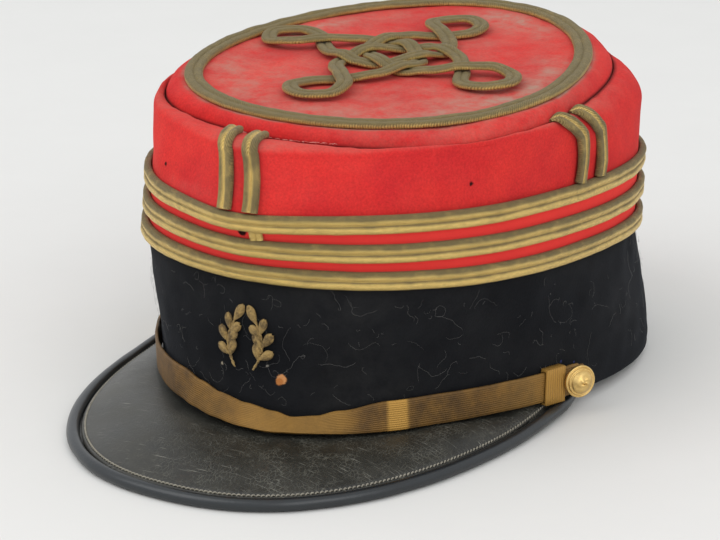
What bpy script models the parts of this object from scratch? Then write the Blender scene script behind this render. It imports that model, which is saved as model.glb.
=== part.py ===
"""Officer's kepi with gold braid, at rest on a table.

Frame: metres, front of the cap towards -Y, wearer's left +X, up +Z.
The cap stands on the rear of its band and on the front edge of its peak, so the
band's lower rim leans back by a few degrees. Every level of the band and crown is an
oval whose sizes are shares of the named lengths below.
"""
import bpy
import math
from mathutils import Vector

MM = 0.001

# Main sizes of the cap
BAND_WIDTH = 160.6 * MM        # outside, at the lower rim
BAND_LENGTH = 202.6 * MM       # outside, at the lower rim
CAP_HEIGHT = 108.9 * MM        # table to the flat of the crown top
RIM_LEAN = 2.7                 # degrees, front of the rim higher than the back
RIM_REST = 0.35 * MM           # air under the rearmost point of the rim

# Cloth and gaps
BAND_WALL = 2.4 * MM
CLOTH = 2.0 * MM
GAP = 0.3 * MM

# Gold braid (double ridged soutache)
BRAID_WIDTH = 6.2 * MM
BRAID_THICK = 2.3 * MM
UPRIGHT_WIDTH = 5.3 * MM
UPRIGHT_THICK = 2.1 * MM
RING_WIDTH = 6.5 * MM
RING_THICK = 2.0 * MM
KNOT_WIDTH = 5.7 * MM
KNOT_THICK = 1.7 * MM
KNOT_REACH = 55.0 * MM         # centre of the knot to the tip of a loop
KNOT_LIFT = 2.35 * MM          # rise of the cord where it passes over itself
KNOT_TURN = -6.0               # degrees, the knot is sewn slightly askew

# Peak
PEAK_HALF_WIDTH = 78.5 * MM
PEAK_REACH = 127.3 * MM        # from the line of the buttons to the tip
PEAK_LINE = -20.2 * MM         # where the peak's widest line lies, from the band centre
PEAK_POWER = 2.30
PEAK_TAIL = 11.0 * MM          # how far its edge runs straight on behind that line
PEAK_RISE = 45.0 * MM          # length over which its edge rises to the rim
PEAK_LEATHER = 2.0 * MM
PEAK_CROWN = 2.6 * MM          # how far the peak bulges up between its two edges
BINDING = 4.5 * MM             # thickness of the rolled leather edge
PEAK_TUCK = 1.6 * MM           # how far the peak runs in under the band
LEATHER_END = 90.0             # degrees from the tip at which the flat leather ends
EDGE_TUCK = 0.9 * MM           # how far the ends of the rolled edge turn in
ROOT_END = -11.5               # angle round the rim of the ends of the peak's root

# Strap, keepers and buttons
STRAP_WIDTH = 10.4 * MM
STRAP_THICK = 1.2 * MM
KEEPER_LENGTH = 9.3 * MM
KEEPER_WALL = 0.8 * MM
BUTTON_DIAMETER = 11.4 * MM
BUTTON_DOME = 4.6 * MM
BUTTON_TURN = 20.0             # degrees that the strap turns its face to the front
BUTTON_ANGLE = -7.2            # degrees round the band from the wearer's left
BUTTON_ABOVE = 6.4 * MM        # height of its centre above the rim

# Sprigs embroidered on the front of the band
SPRIG_HEIGHT = 19.5 * MM
SPRIG_SPREAD = 9.5 * MM        # distance between the feet and the tips of the pair
SPRIG_RELIEF = 1.3 * MM
SPRIG_MIDDLE = 26.5 * MM       # height of the middle of the sprigs above the rim
SPRIG_SIDE = 3.0 * MM          # how far the pair sits to the wearer's left

AROUND = 56                    # points round the band and crown

# Levels of the cap from the rim up. Columns: width and length as shares of the band's,
# forward = shift of the middle as a share of the length, height as a share of the cap
# height, lean in degrees, power of the oval, egg = how much wider the back is,
# crease = how far the front corner stands out, as a share of the length.
LEVEL_COLUMNS = ("width", "length", "forward", "height", "lean", "power", "egg", "crease")
LEVELS = {
    "rim":      (1.000, 1.000, 0.009, None, None, 2.03, 0.225, 0.000),
    "braids_0": (0.944, 0.936, 0.006, 0.4745, -4.9, 2.45, 0.062, 0.013),
    "braids_1": (0.943, 0.952, 0.008, 0.722, -3.1, 2.31, 0.108, 0.036),
    "bulge":    (0.961, 0.938, -0.012, 0.8785, -3.5, 2.20, 0.045, 0.036),
    "seam":     (0.892, 0.793, -0.027, 0.947, 2.0, 2.47, -0.097, 0.011),
    "flat":     (0.846, 0.774, -0.026, 1.000, 2.75, 2.06, -0.144, 0.000),
}
CREASE_REACH = 22.0 * MM       # half width of the raised front corner
CREASE_SIDE = 3.0 * MM         # how far that corner stands to the wearer's left
SHOULDER_PUFF = 0.3 * MM       # how far the cloth swells up between the side and the seam

# Centres of the three braids between braids_0 and braids_1
BRAID_SHARES = {"braid_lower": 0.115, "braid_middle": 0.500, "braid_upper": 0.885}

# Upright braids. Columns: angle round the cap at the seam and at the foot, in degrees
# from the wearer's left. The crown is sewn on slightly twisted, so they lean.
UPRIGHTS = {
    "front_a": (-95.4, -90.2),
    "front_b": (-90.0, -84.8),
    "left_a": (-14.0, -2.0),
    "left_b": (-6.4, 3.1),
    "back_a": (84.6, 89.8),
    "back_b": (90.0, 95.2),
    "right_a": (166.0, 178.0),
    "right_b": (173.6, 183.1),
}

# One quarter of the knot, in its own square frame with the arm along +x. Columns: x and
# y as shares of the reach, lift = 1 where the cord passes over and 0 where it is under.
KNOT_ROWS = (
    (1.000, 0.000, 0.50),
    (0.900, 0.155, 0.40),
    (0.730, 0.150, 0.90),
    (0.570, 0.000, 1.00),
    (0.400, -0.160, 0.50),
    (0.222, -0.230, 0.00),
    (0.020, -0.185, 1.00),
    (-0.185, -0.020, 0.00),
    (-0.245, 0.100, 0.50),
    (-0.222, 0.230, 1.00),
    (-0.160, 0.400, 0.50),
    (0.000, 0.570, 0.00),
    (0.150, 0.730, 0.10),
    (0.155, 0.900, 0.40),
)
KNOT_STEPS = 2                 # sections between two rows

# The loops don't lie quite alike. Columns: extra turn in degrees and share of the reach,
# for the loops to the wearer's left, back, right and front.
KNOT_LOOPS = ((-8.0, 0.97), (3.0, 0.92), (0.0, 0.98), (0.0, 0.97))
KNOT_CORE = 0.3                # share of the reach inside which nothing is moved

# Strap from the wearer's right button round the front to the left one. Columns: angle
# round the rim, height of the lower edge above the rim, lean of the face in degrees,
# distance from the band, width as a share of the strap's.
STRAP_ROWS = (
    (-176.8, 5.0, 1.0, 1.5, 0.26),
    (-176.2, 3.0, 1.0, 1.5, 0.68),
    (-175.2, 1.2, 1.0, 1.5, 0.92),
    (-173.5, 0.6, 1.0, 1.5, 1.00),
    (-168.0, 0.7, 1.0, 1.5, 1.00),
    (-158.0, 1.4, 4.0, 1.3, 1.00),
    (-140.0, 2.0, 4.0, 0.9, 1.00),
    (-124.0, 2.5, 4.0, 0.9, 1.00),
    (-109.0, 2.9, 6.0, 1.2, 1.00),
    (-101.0, 2.6, 10.0, 1.7, 0.90),
    (-94.0, 1.7, 14.0, 1.8, 0.82),
    (-86.0, 1.0, 22.0, 2.0, 0.77),
    (-78.0, 1.1, 40.0, 2.1, 0.71),
    (-73.0, 1.1, 44.0, 2.1, 0.56),
    (-67.0, 1.1, 32.0, 2.1, 0.58),
    (-61.0, 0.8, 18.0, 1.9, 0.74),
    (-50.0, 0.8, 12.0, 1.6, 0.97),
    (-39.0, 1.0, 7.0, 1.3, 1.00),
    (-27.0, 1.0, 4.0, 1.3, 1.00),
    (-12.0, 0.7, 1.0, 1.5, 1.00),
    (-6.5, 0.6, 1.0, 1.5, 1.00),
    (-4.8, 1.2, 1.0, 1.5, 0.92),
    (-3.8, 3.0, 1.0, 1.5, 0.68),
    (-3.2, 5.0, 1.0, 1.5, 0.26),
)
STRAP_STEPS = 2                # sections between two rows
KEEPER_ANGLES = {"strap_keeper_left": -11.8, "strap_keeper_right": -168.2}

# Leaves of a sprig. Columns: place along the stem, side, length, width (mm).
LEAF_ROWS = (
    (0.20, -1, 5.4, 2.5),
    (0.22, 1, 5.4, 2.5),
    (0.42, -1, 5.6, 2.6),
    (0.46, 1, 5.6, 2.6),
    (0.64, -1, 5.2, 2.5),
    (0.70, 1, 5.0, 2.4),
    (0.88, 0, 6.2, 2.7),
)

COLOURS = {
    "black_wool": (0.012, 0.012, 0.014, 1.0),
    "red_wool": (0.62, 0.030, 0.028, 1.0),
    "gold_braid": (0.36, 0.25, 0.075, 1.0),
    "tarnished_braid": (0.20, 0.165, 0.07, 1.0),
    "black_leather": (0.035, 0.035, 0.032, 1.0),
    "edge_leather": (0.020, 0.024, 0.030, 1.0),
    "gold_strap": (0.27, 0.155, 0.035, 1.0),
    "button_brass": (0.66, 0.42, 0.12, 1.0),
    "gold_embroidery": (0.25, 0.18, 0.06, 1.0),
}


def clear_scene():
    for item in list(bpy.data.objects):
        bpy.data.objects.remove(item, do_unlink=True)


def material(name):
    found = bpy.data.materials.get(name)
    if found:
        return found
    made = bpy.data.materials.new(name)
    made.use_nodes = True
    shader = made.node_tree.nodes["Principled BSDF"]
    shader.inputs["Base Color"].default_value = COLOURS[name]
    shader.inputs["Roughness"].default_value = 0.35 if name == "button_brass" else 0.8
    shader.inputs["Metallic"].default_value = 1.0 if name == "button_brass" else 0.0
    made.diffuse_color = COLOURS[name]
    return made


def add_object(name, points, faces, material_name, smooth=True):
    """Make a mesh object from points and faces, with normals made to face outwards."""
    mesh = bpy.data.meshes.new(name)
    mesh.from_pydata([tuple(p) for p in points], [], faces)
    mesh.validate()
    mesh.update()
    item = bpy.data.objects.new(name, mesh)
    bpy.context.collection.objects.link(item)
    mesh.materials.append(material(material_name))
    volume = 0.0
    mesh.calc_loop_triangles()
    for tri in mesh.loop_triangles:
        a, b, c = [mesh.vertices[i].co for i in tri.vertices]
        volume += a.dot(b.cross(c))
    if volume < 0.0:
        mesh.flip_normals()
    for face in mesh.polygons:
        face.use_smooth = smooth
    return item


def mix(a, b, t):
    return a + (b - a) * t


def rim_height_at(y):
    """Height of the rim's plane at a distance y behind the band centre."""
    lean = math.radians(RIM_LEAN)
    middle = RIM_REST + 0.5 * BAND_LENGTH * math.sin(lean)
    return middle - y * math.tan(lean)


def level(name):
    """A level as real sizes: width, length, y, z, lean, power, egg, crease."""
    row = dict(zip(LEVEL_COLUMNS, LEVELS[name]))
    if row["height"] is None:
        height = rim_height_at(0.0)
        lean = -RIM_LEAN
    else:
        height = row["height"] * CAP_HEIGHT
        lean = row["lean"]
    return [row["width"] * BAND_WIDTH, row["length"] * BAND_LENGTH,
            -row["forward"] * BAND_LENGTH, height, lean, row["power"], row["egg"],
            row["crease"] * BAND_LENGTH]


def between(low, high, share, high_share=None):
    """Mix two levels. high_share sets the height apart from the plan sizes."""
    made = [mix(a, b, share) for a, b in zip(low, high)]
    if high_share is not None:
        made[3] = mix(low[3], high[3], high_share)
    return made


def grown(lev, by):
    """The same level with its outline moved out by a distance."""
    made = list(lev)
    made[0] += 2.0 * by
    made[1] += 2.0 * by
    return made


def oval(lev, angle):
    """Point of a level at an angle in radians; the front is at minus 90 degrees."""
    width, length, y_mid, z_mid, lean, power, egg, crease = lev
    c = math.cos(angle)
    s = math.sin(angle)
    across = math.copysign(abs(c) ** (2.0 / power), c)
    along = math.copysign(abs(s) ** (2.0 / power), s)
    x = 0.5 * width * across * (1.0 + egg * along)
    y = 0.5 * length * along
    if s < 0.0:
        y -= crease * math.exp(-((x - CREASE_SIDE) / CREASE_REACH) ** 2)
    tilt = math.radians(lean)
    return Vector((x, y_mid + y * math.cos(tilt), z_mid + y * math.sin(tilt)))


def even_angles(lev, count):
    """Angles that share the outline of a level into equal lengths."""
    fine = 720
    marks = [oval(lev, 2.0 * math.pi * i / fine) for i in range(fine + 1)]
    lengths = [0.0]
    for a, b in zip(marks, marks[1:]):
        lengths.append(lengths[-1] + (b - a).length)
    angles = []
    step = 0
    for i in range(count):
        goal = lengths[-1] * i / count
        while lengths[step + 1] < goal:
            step += 1
        part = (goal - lengths[step]) / (lengths[step + 1] - lengths[step])
        angles.append(2.0 * math.pi * (step + part) / fine)
    return angles


def ring_points(lev, angles):
    return [oval(lev, a) for a in angles]


def grid_normals(rows):
    """Outward normals of rows of ring points, worked out from their neighbours."""
    normals = []
    count = len(rows[0])
    for r, row in enumerate(rows):
        up_row = rows[min(r + 1, len(rows) - 1)]
        low_row = rows[max(r - 1, 0)]
        line = []
        for i in range(count):
            along = row[(i + 1) % count] - row[i - 1]
            rise = up_row[i] - low_row[i]
            line.append(along.cross(rise).normalized())
        normals.append(line)
    return normals


def wall(name, outer, inner, material_name, domed=False):
    """Closed cloth wall from rows of outer and inner ring points, lowest row first.

    With domed the last row of each side is a single point at the crown's middle.
    """
    count = len(outer[0])
    points = []
    for row in outer:
        points.extend(row)
    start = len(points)
    for row in inner:
        points.extend(row)
    faces = []
    full = len(outer) - (1 if domed else 0)
    for r in range(full - 1):
        for i in range(count):
            j = (i + 1) % count
            a, b = r * count + i, r * count + j
            c, d = (r + 1) * count + j, (r + 1) * count + i
            faces.append((a, b, c, d))
            faces.append((start + d, start + c, start + b, start + a))
    top = (full - 1) * count
    for i in range(count):
        j = (i + 1) % count
        faces.append((i, start + i, start + j, j))
        if domed:
            faces.append((top + i, top + j, full * count))
            faces.append((start + top + j, start + top + i, start + full * count))
        else:
            faces.append((top + j, start + top + j, start + top + i, top + i))
    return add_object(name, points, faces, material_name)


def sweep(name, path, normals, sections, material_name, closed=False):
    """Carry a cross section along a path.

    sections gives, for each path point, a list of (across, out) distances.
    """
    count = len(path)
    size = len(sections[0])
    points = []
    for i, place in enumerate(path):
        if closed:
            heading = path[(i + 1) % count] - path[i - 1]
        else:
            heading = path[min(i + 1, count - 1)] - path[max(i - 1, 0)]
        out = normals[i]
        across = out.cross(heading).normalized()
        for u, v in sections[i]:
            points.append(place + across * u + out * v)
    faces = []
    for i in range(count if closed else count - 1):
        j = (i + 1) % count
        for k in range(size):
            m = (k + 1) % size
            faces.append((i * size + k, j * size + k, j * size + m, i * size + m))
    if not closed:
        faces.append(tuple(range(size)))
        faces.append(tuple((count - 1) * size + k for k in reversed(range(size))))
    return add_object(name, points, faces, material_name)


def braid_section(width, thick, lift=0.0):
    """Two ridges with a groove between them on a flat back."""
    shares = ((-0.50, 0.0), (0.50, 0.0), (0.31, 1.0), (0.0, 0.60), (-0.31, 1.0))
    return [(u * width, v * thick + lift) for u, v in shares]


def side_level(share):
    """Level of the crown's side, 0 at the lower braid's lower edge and 3 at the seam."""
    if share <= 1.0:
        return between(level("braids_0"), level("braids_1"), share)
    if share <= 2.0:
        return between(level("braids_1"), level("bulge"), share - 1.0)
    turn = math.radians(90.0 * (share - 2.0))
    made = between(level("bulge"), level("seam"), 1.0 - math.cos(turn), math.sin(turn))
    made[3] += SHOULDER_PUFF * math.sin(2.0 * turn)
    return made


def side_frame(share, angle):
    """Point and outward normal on the crown's side."""
    small = 0.02
    low = max(share - small, 0.0)
    high = min(share + small, 3.0)
    place = oval(side_level(share), angle)
    rise = oval(side_level(high), angle) - oval(side_level(low), angle)
    along = oval(side_level(share), angle + 0.01) - oval(side_level(share), angle - 0.01)
    return place, along.cross(rise).normalized()


def band_level(share):
    """Level of the black band, 0 at the rim and 1 at the lower braid's lower edge."""
    return between(level("rim"), level("braids_0"), share)


def band_frame(share, angle):
    """Point, outward normal and upward direction on the band."""
    place = oval(band_level(share), angle)
    rise = oval(band_level(share + 0.05), angle) - oval(band_level(share - 0.05), angle)
    along = oval(band_level(share), angle + 0.01) - oval(band_level(share), angle - 0.01)
    out = along.cross(rise).normalized()
    return place, out, out.cross(along).normalized()


def build_band():
    angles = even_angles(level("rim"), AROUND)
    join = BRAID_SHARES["braid_lower"]
    rise = (level("braids_1")[3] - level("braids_0")[3])
    levels = [band_level(share) for share in (0.0, 0.34, 0.67, 1.0)]
    levels.append(side_level(join - 0.5 * GAP / rise))
    outer = [ring_points(lev, angles) for lev in levels]
    inner = [ring_points(grown(lev, -BAND_WALL), angles) for lev in levels]
    wall("band", outer, inner, "black_wool")


def build_crown_side():
    angles = even_angles(level("rim"), AROUND)
    join = BRAID_SHARES["braid_lower"]
    rise = (level("braids_1")[3] - level("braids_0")[3])
    shares = (join + 0.5 * GAP / rise, 1.0, 1.5, 2.0, 2.33, 2.66, 3.0)
    outer = [ring_points(side_level(s), angles) for s in shares]
    normals = grid_normals(outer)
    inner = []
    for row, line in zip(outer, normals):
        inner.append([p - n * CLOTH for p, n in zip(row, line)])
    inner[0] = ring_points(grown(side_level(shares[0]), -CLOTH), angles)
    edge = side_level(3.0)
    edge[3] -= CLOTH
    inner[-1] = ring_points(edge, angles)
    wall("crown_side", outer, inner, "red_wool")


def flat_frame(x, y):
    """Point on the flat of the crown at (x, y) from its middle, and its normal."""
    lev = level("flat")
    tilt = math.radians(lev[4])
    place = Vector((x, lev[2] + y * math.cos(tilt), lev[3] + y * math.sin(tilt)))
    return place, Vector((0.0, -math.sin(tilt), math.cos(tilt)))


def build_crown_top():
    angles = even_angles(level("rim"), AROUND)
    foot = grown(level("seam"), -GAP)
    foot[3] -= 0.8 * MM
    flat = level("flat")
    levels = []
    for degrees in (0.0, 40.0, 70.0, 90.0):
        turn = math.radians(degrees)
        levels.append(between(foot, flat, 1.0 - math.cos(turn), math.sin(turn)))
    for share in (0.55,):
        smaller = list(flat)
        smaller[0] *= share
        smaller[1] *= share
        levels.append(smaller)
    outer = [ring_points(lev, angles) for lev in levels]
    normals = grid_normals(outer)
    inner = []
    for row, line in zip(outer, normals):
        inner.append([p - n * CLOTH for p, n in zip(row, line)])
    inner[0] = ring_points(grown(levels[0], -CLOTH), angles)
    middle, up = flat_frame(0.0, 0.0)
    outer.append([middle])
    inner.append([middle - up * CLOTH])
    wall("crown_top", outer, inner, "red_wool", domed=True)


def build_braids():
    for name, share in BRAID_SHARES.items():
        angles = even_angles(side_level(share), AROUND)
        path = []
        normals = []
        for angle in angles:
            place, out = side_frame(share, angle)
            path.append(place + out * 1.6 * GAP)
            normals.append(out)
        section = braid_section(BRAID_WIDTH, BRAID_THICK)
        sweep(name, path, normals, [section] * len(path), "gold_braid", closed=True)


def build_uprights():
    rise = level("braids_1")[3] - level("braids_0")[3]
    foot = BRAID_SHARES["braid_upper"] + (0.5 * BRAID_WIDTH + 5.0 * GAP) / rise
    shares = (foot, 1.4, 1.8, 2.15, 2.33, 2.5, 2.66, 2.74, 2.83)
    for label, (top_angle, foot_angle) in UPRIGHTS.items():
        path = []
        normals = []
        for share in shares:
            climb = (share - foot) / (shares[-1] - foot)
            angle = math.radians(mix(foot_angle, top_angle, climb * climb))
            place, out = side_frame(share, angle)
            path.append(place + out * 2.9 * GAP)
            normals.append(out)
        sections = [braid_section(UPRIGHT_WIDTH, UPRIGHT_THICK)] * (len(path) - 2)
        sections.append(braid_section(0.70 * UPRIGHT_WIDTH, 0.75 * UPRIGHT_THICK))
        sections.append(braid_section(0.30 * UPRIGHT_WIDTH, 0.35 * UPRIGHT_THICK))
        sweep("upright_" + label, path, normals, sections, "gold_braid")


def build_ring():
    lev = level("flat")
    lev[0] -= RING_WIDTH + 0.5 * MM
    lev[1] -= RING_WIDTH + 0.5 * MM
    up = flat_frame(0.0, 0.0)[1]
    path = [oval(lev, a) + up * GAP for a in even_angles(lev, AROUND)]
    section = braid_section(RING_WIDTH, RING_THICK)
    sweep("ring_braid", path, [up] * len(path), [section] * len(path),
          "tarnished_braid", closed=True)


def catmull(p0, p1, p2, p3, t):
    """Smooth curve through p1 and p2."""
    return 0.5 * ((2.0 * p1) + (p2 - p0) * t + (2.0 * p0 - 5.0 * p1 + 4.0 * p2 - p3) * t * t
                  + (3.0 * p1 - p0 - 3.0 * p2 + p3) * t * t * t)


def loop_bend(way, out):
    """Move a mark at an angle and a share of the reach with the loop that it belongs to."""
    arm = int(way // 90.0) % 4
    ease = 0.5 - 0.5 * math.cos(math.radians(2.0 * (way - 90.0 * (way // 90.0))))
    near, far = KNOT_LOOPS[arm], KNOT_LOOPS[(arm + 1) % 4]
    amount = max(0.0, min(1.0, (out - KNOT_CORE) / 0.5))
    amount *= amount * (3.0 - 2.0 * amount)
    turned = way + amount * mix(near[0], far[0], ease)
    return turned, out * mix(1.0, mix(near[1], far[1], ease), amount)


def knot_path():
    """Closed centre line of the knot: (x, y, lift) from four turned copies of the rows."""
    rows = []
    for arm in range(4):
        for x, y, lift in KNOT_ROWS:
            way = math.degrees(math.atan2(y, x)) + 90.0 * arm
            way, out = loop_bend(way % 360.0, math.hypot(x, y))
            turn = math.radians(way + KNOT_TURN)
            rows.append(Vector((KNOT_REACH * out * math.cos(turn),
                                KNOT_REACH * out * math.sin(turn), lift)))
    made = []
    count = len(rows)
    for i in range(count):
        for k in range(KNOT_STEPS):
            t = k / KNOT_STEPS
            made.append(catmull(rows[i - 1], rows[i], rows[(i + 1) % count],
                                rows[(i + 2) % count], t))
            ease = 0.5 - 0.5 * math.cos(math.pi * t)
            made[-1].z = mix(rows[i].z, rows[(i + 1) % count].z, ease)
    return made


def build_knot():
    up = flat_frame(0.0, 0.0)[1]
    path = []
    sections = []
    for mark in knot_path():
        place, _ = flat_frame(mark.x - 2.2 * MM, mark.y - 1.0 * MM)
        path.append(place + up * (GAP + mark.z * KNOT_LIFT))
        sections.append(braid_section(KNOT_WIDTH, KNOT_THICK))
    sweep("top_knot", path, [up] * len(path), sections, "tarnished_braid", closed=True)


EDGE_END = 90.0 + PEAK_TAIL / MM


def peak_edge(turn):
    """Centre of the rolled edge; turn is 0 at the tip, 90 where the peak is widest and
    1 more for each mm of the straight tail behind that."""
    bend = max(-90.0, min(90.0, turn))
    c = max(0.0, math.cos(math.radians(bend)))
    s = math.sin(math.radians(bend))
    x = PEAK_HALF_WIDTH * math.copysign(abs(s) ** (2.0 / PEAK_POWER), s)
    y = PEAK_LINE - (PEAK_REACH - 1.0 * MM) * c ** (2.0 / PEAK_POWER)
    y += (abs(turn) - abs(bend)) * MM
    tuck = max(0.0, (abs(turn) - LEATHER_END) / (EDGE_END - LEATHER_END))
    high = rim_height_at(y) - GAP - binding_half(turn)
    climb = max(0.0, min(1.0, 1.0 - (PEAK_LINE + PEAK_TAIL - y) / PEAK_RISE))
    z = mix(0.5 * BINDING, high, climb * climb * (3.0 - 2.0 * climb))
    x -= math.copysign(EDGE_TUCK * tuck * tuck, s)
    return Vector((x, y, z))


def edge_turns(end, count):
    """Turns from end to end that share the rolled edge into nearly equal lengths."""
    fine = [end * i / 400.0 for i in range(401)]
    run = [0.0]
    for a, b in zip(fine, fine[1:]):
        run.append(run[-1] + (peak_edge(b) - peak_edge(a)).length)
    half = []
    k = 0
    for i in range(count // 2 + 1):
        goal = run[-1] * i / (count // 2)
        while k < 399 and run[k + 1] < goal:
            k += 1
        t = (goal - run[k]) / max(run[k + 1] - run[k], 1e-9)
        half.append(mix(fine[k], fine[k + 1], min(1.0, t)))
    return [-turn for turn in reversed(half[1:])] + half


def binding_half(turn):
    """Half the thickness of the rolled edge, thinner towards its two ends."""
    fade = min(1.0, (EDGE_END - abs(turn)) / 12.0)
    return 0.5 * BINDING * mix(0.5, 1.0, fade)


def peak_root(turn):
    """Inner edge of the peak, tucked under the rim of the band."""
    span = math.radians(mix(-90.0, ROOT_END, abs(turn) / LEATHER_END))
    place = oval(grown(level("rim"), -PEAK_TUCK), span)
    if turn < 0.0:
        place.x = -place.x
    place.z -= GAP
    return place


def build_peak():
    turns = edge_turns(LEATHER_END, 30)
    rows = 6
    top = []
    for turn in turns:
        edge = peak_edge(turn)
        root = peak_root(turn)
        ahead = peak_edge(turn + 0.5) - peak_edge(turn - 0.5)
        flat_in = Vector((-ahead.y, ahead.x, 0.0)).normalized()
        start = edge + flat_in * (binding_half(turn) + 1.6 * GAP)
        start.z += 0.5 * PEAK_LEATHER
        line = []
        for k in range(rows + 1):
            t = k / rows
            spot = start.lerp(root, t)
            reach = (root - start).length
            spot.z += PEAK_CROWN * math.sin(math.pi * t) * min(1.0, reach / (30.0 * MM))
            line.append(spot)
        top.append(line)
    size = rows + 1
    points = [p for line in top for p in line]
    start = len(points)
    points += [p - Vector((0.0, 0.0, PEAK_LEATHER)) for line in top for p in line]
    faces = []
    count = len(turns)
    for i in range(count - 1):
        for k in range(rows):
            a, b = i * size + k, (i + 1) * size + k
            c, d = b + 1, a + 1
            faces.append((a, b, c, d))
            faces.append((start + d, start + c, start + b, start + a))
        faces.append((i * size, start + i * size, start + (i + 1) * size, (i + 1) * size))
        a, b = i * size + rows, (i + 1) * size + rows
        faces.append((a, b, start + b, start + a))
    last = (count - 1) * size
    for k in range(rows):
        faces.append((k, k + 1, start + k + 1, start + k))
        faces.append((last + k + 1, last + k, start + last + k, start + last + k + 1))
    add_object("peak", points, faces, "black_leather")


def build_binding():
    path = []
    sections = []
    normals = []
    for turn in edge_turns(EDGE_END, 40):
        path.append(peak_edge(turn))
        normals.append(Vector((0.0, 0.0, 1.0)))
        half = binding_half(turn)
        section = []
        for k in range(6):
            a = 2.0 * math.pi * (k + 0.5) / 6
            section.append((half * math.cos(a), 0.98 * half * math.sin(a)))
        sections.append(section)
    sweep("peak_binding", path, normals, sections, "edge_leather")


def strap_row(angle):
    """Strap values at an angle round the rim, mixed smoothly between the table's rows."""
    rows = STRAP_ROWS
    for low, high in zip(rows, rows[1:]):
        if angle <= high[0]:
            t = max(0.0, (angle - low[0]) / (high[0] - low[0]))
            ease = t * t * (3.0 - 2.0 * t)
            return [mix(a, b, ease) for a, b in zip(low[1:], high[1:])]
    return list(rows[-1][1:])


def strap_frame(angle):
    """Foot of the strap's back face, its outward and upward directions and its width."""
    height, lean, stand, share = strap_row(angle)
    width = STRAP_WIDTH * share
    centre = height * MM + 0.5 * width
    band_rise = level("braids_0")[3] - rim_height_at(0.0)
    place, out, up = band_frame(centre / band_rise, math.radians(angle))
    tilt = math.radians(lean)
    leant_up = (up * math.cos(tilt) - out * math.sin(tilt)).normalized()
    leant_out = (out * math.cos(tilt) + up * math.sin(tilt)).normalized()
    near = 0.5 * width * math.sin(tilt)
    middle = place + out * (stand * MM + near) - up * (0.5 * width * (1.0 - math.cos(tilt)))
    return middle, leant_out, leant_up, width


def build_strap():
    angles = []
    for low, high in zip(STRAP_ROWS, STRAP_ROWS[1:]):
        steps = STRAP_STEPS if high[0] - low[0] > 4.0 else 1
        for k in range(steps):
            angles.append(mix(low[0], high[0], k / steps))
    angles.append(STRAP_ROWS[-1][0])
    path = []
    normals = []
    sections = []
    for angle in angles:
        middle, out, up, width = strap_frame(angle)
        path.append(middle)
        normals.append(out)
        half = 0.5 * width
        sections.append([(-half, 0.0), (half, 0.0), (half, 0.75 * STRAP_THICK),
                         (0.55 * half, STRAP_THICK), (-0.55 * half, STRAP_THICK),
                         (-half, 0.75 * STRAP_THICK)])
    sweep("chin_strap", path, normals, sections, "gold_strap")


def build_keepers():
    stations = 7
    for name, angle in KEEPER_ANGLES.items():
        per_degree = (strap_frame(angle + 1.0)[0] - strap_frame(angle)[0]).length
        spread = KEEPER_LENGTH / per_degree
        frames = []
        for i in range(-1, stations + 1):
            share = i / (stations - 1.0) - 0.5
            frames.append(strap_frame(angle + spread * share))
        outer = []
        inner = []
        for i in range(1, stations + 1):
            place, out, _, width = frames[i]
            heading = frames[i + 1][0] - frames[i - 1][0]
            across = out.cross(heading).normalized()
            wall_now = KEEPER_WALL * (0.6 if i in (1, stations) else 1.0)
            for rows, room in ((outer, GAP + wall_now), (inner, GAP)):
                high = 0.5 * width + room
                for u, v in ((-1.0, -room), (1.0, -room), (1.0, STRAP_THICK + room),
                             (-1.0, STRAP_THICK + room)):
                    rows.append(place + across * u * high + out * v)
        points = outer + inner
        start = len(outer)
        last = 4 * (stations - 1)
        faces = []
        for k in range(4):
            m = (k + 1) % 4
            for r in range(stations - 1):
                a, b = 4 * r + k, 4 * r + m
                faces.append((a, b, b + 4, a + 4))
                faces.append((start + a + 4, start + b + 4, start + b, start + a))
            faces.append((m, k, start + k, start + m))
            faces.append((last + k, last + m, start + last + m, start + last + k))
        add_object(name, points, faces, "gold_strap", smooth=False)


def build_buttons():
    # Profile of a button: distance from its axis and height, as shares.
    profile = ((0.24, -0.55), (0.24, 0.00), (0.90, 0.04), (1.00, 0.20), (0.93, 0.36),
               (0.84, 0.34), (0.79, 0.48), (0.60, 0.75), (0.34, 0.93))
    radius = 0.5 * BUTTON_DIAMETER
    around = 16
    for name, side in (("button_left", 1.0), ("button_right", -1.0)):
        angle = math.radians(BUTTON_ANGLE)
        rise = level("braids_0")[3] - rim_height_at(0.0)
        place, out, up = band_frame(BUTTON_ABOVE / rise, angle)
        turn = math.radians(BUTTON_TURN)
        stand = (STRAP_ROWS[-1][3] * MM + STRAP_THICK + KEEPER_WALL + 2.0 * GAP
                 + radius * math.sin(turn))
        place = place + out * stand
        ahead = up.cross(out)
        if ahead.y > 0.0:
            ahead = -ahead
        out = (out * math.cos(turn) + ahead * math.sin(turn)).normalized()
        if side < 0.0:
            place.x = -place.x
            out.x = -out.x
            up.x = -up.x
        along = up.cross(out).normalized()
        points = []
        for r, h in profile:
            for i in range(around):
                a = 2.0 * math.pi * i / around
                points.append(place + (along * math.cos(a) + up * math.sin(a)) * r * radius
                              + out * h * BUTTON_DOME)
        points.append(place + out * profile[0][1] * BUTTON_DOME)
        points.append(place + out * BUTTON_DOME)
        faces = []
        count = len(profile)
        for r in range(count - 1):
            for i in range(around):
                j = (i + 1) % around
                faces.append((r * around + i, r * around + j,
                              (r + 1) * around + j, (r + 1) * around + i))
        for i in range(around):
            j = (i + 1) % around
            faces.append((j, i, count * around))
            faces.append(((count - 1) * around + i, (count - 1) * around + j,
                          count * around + 1))
        add_object(name, points, faces, "button_brass")


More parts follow.
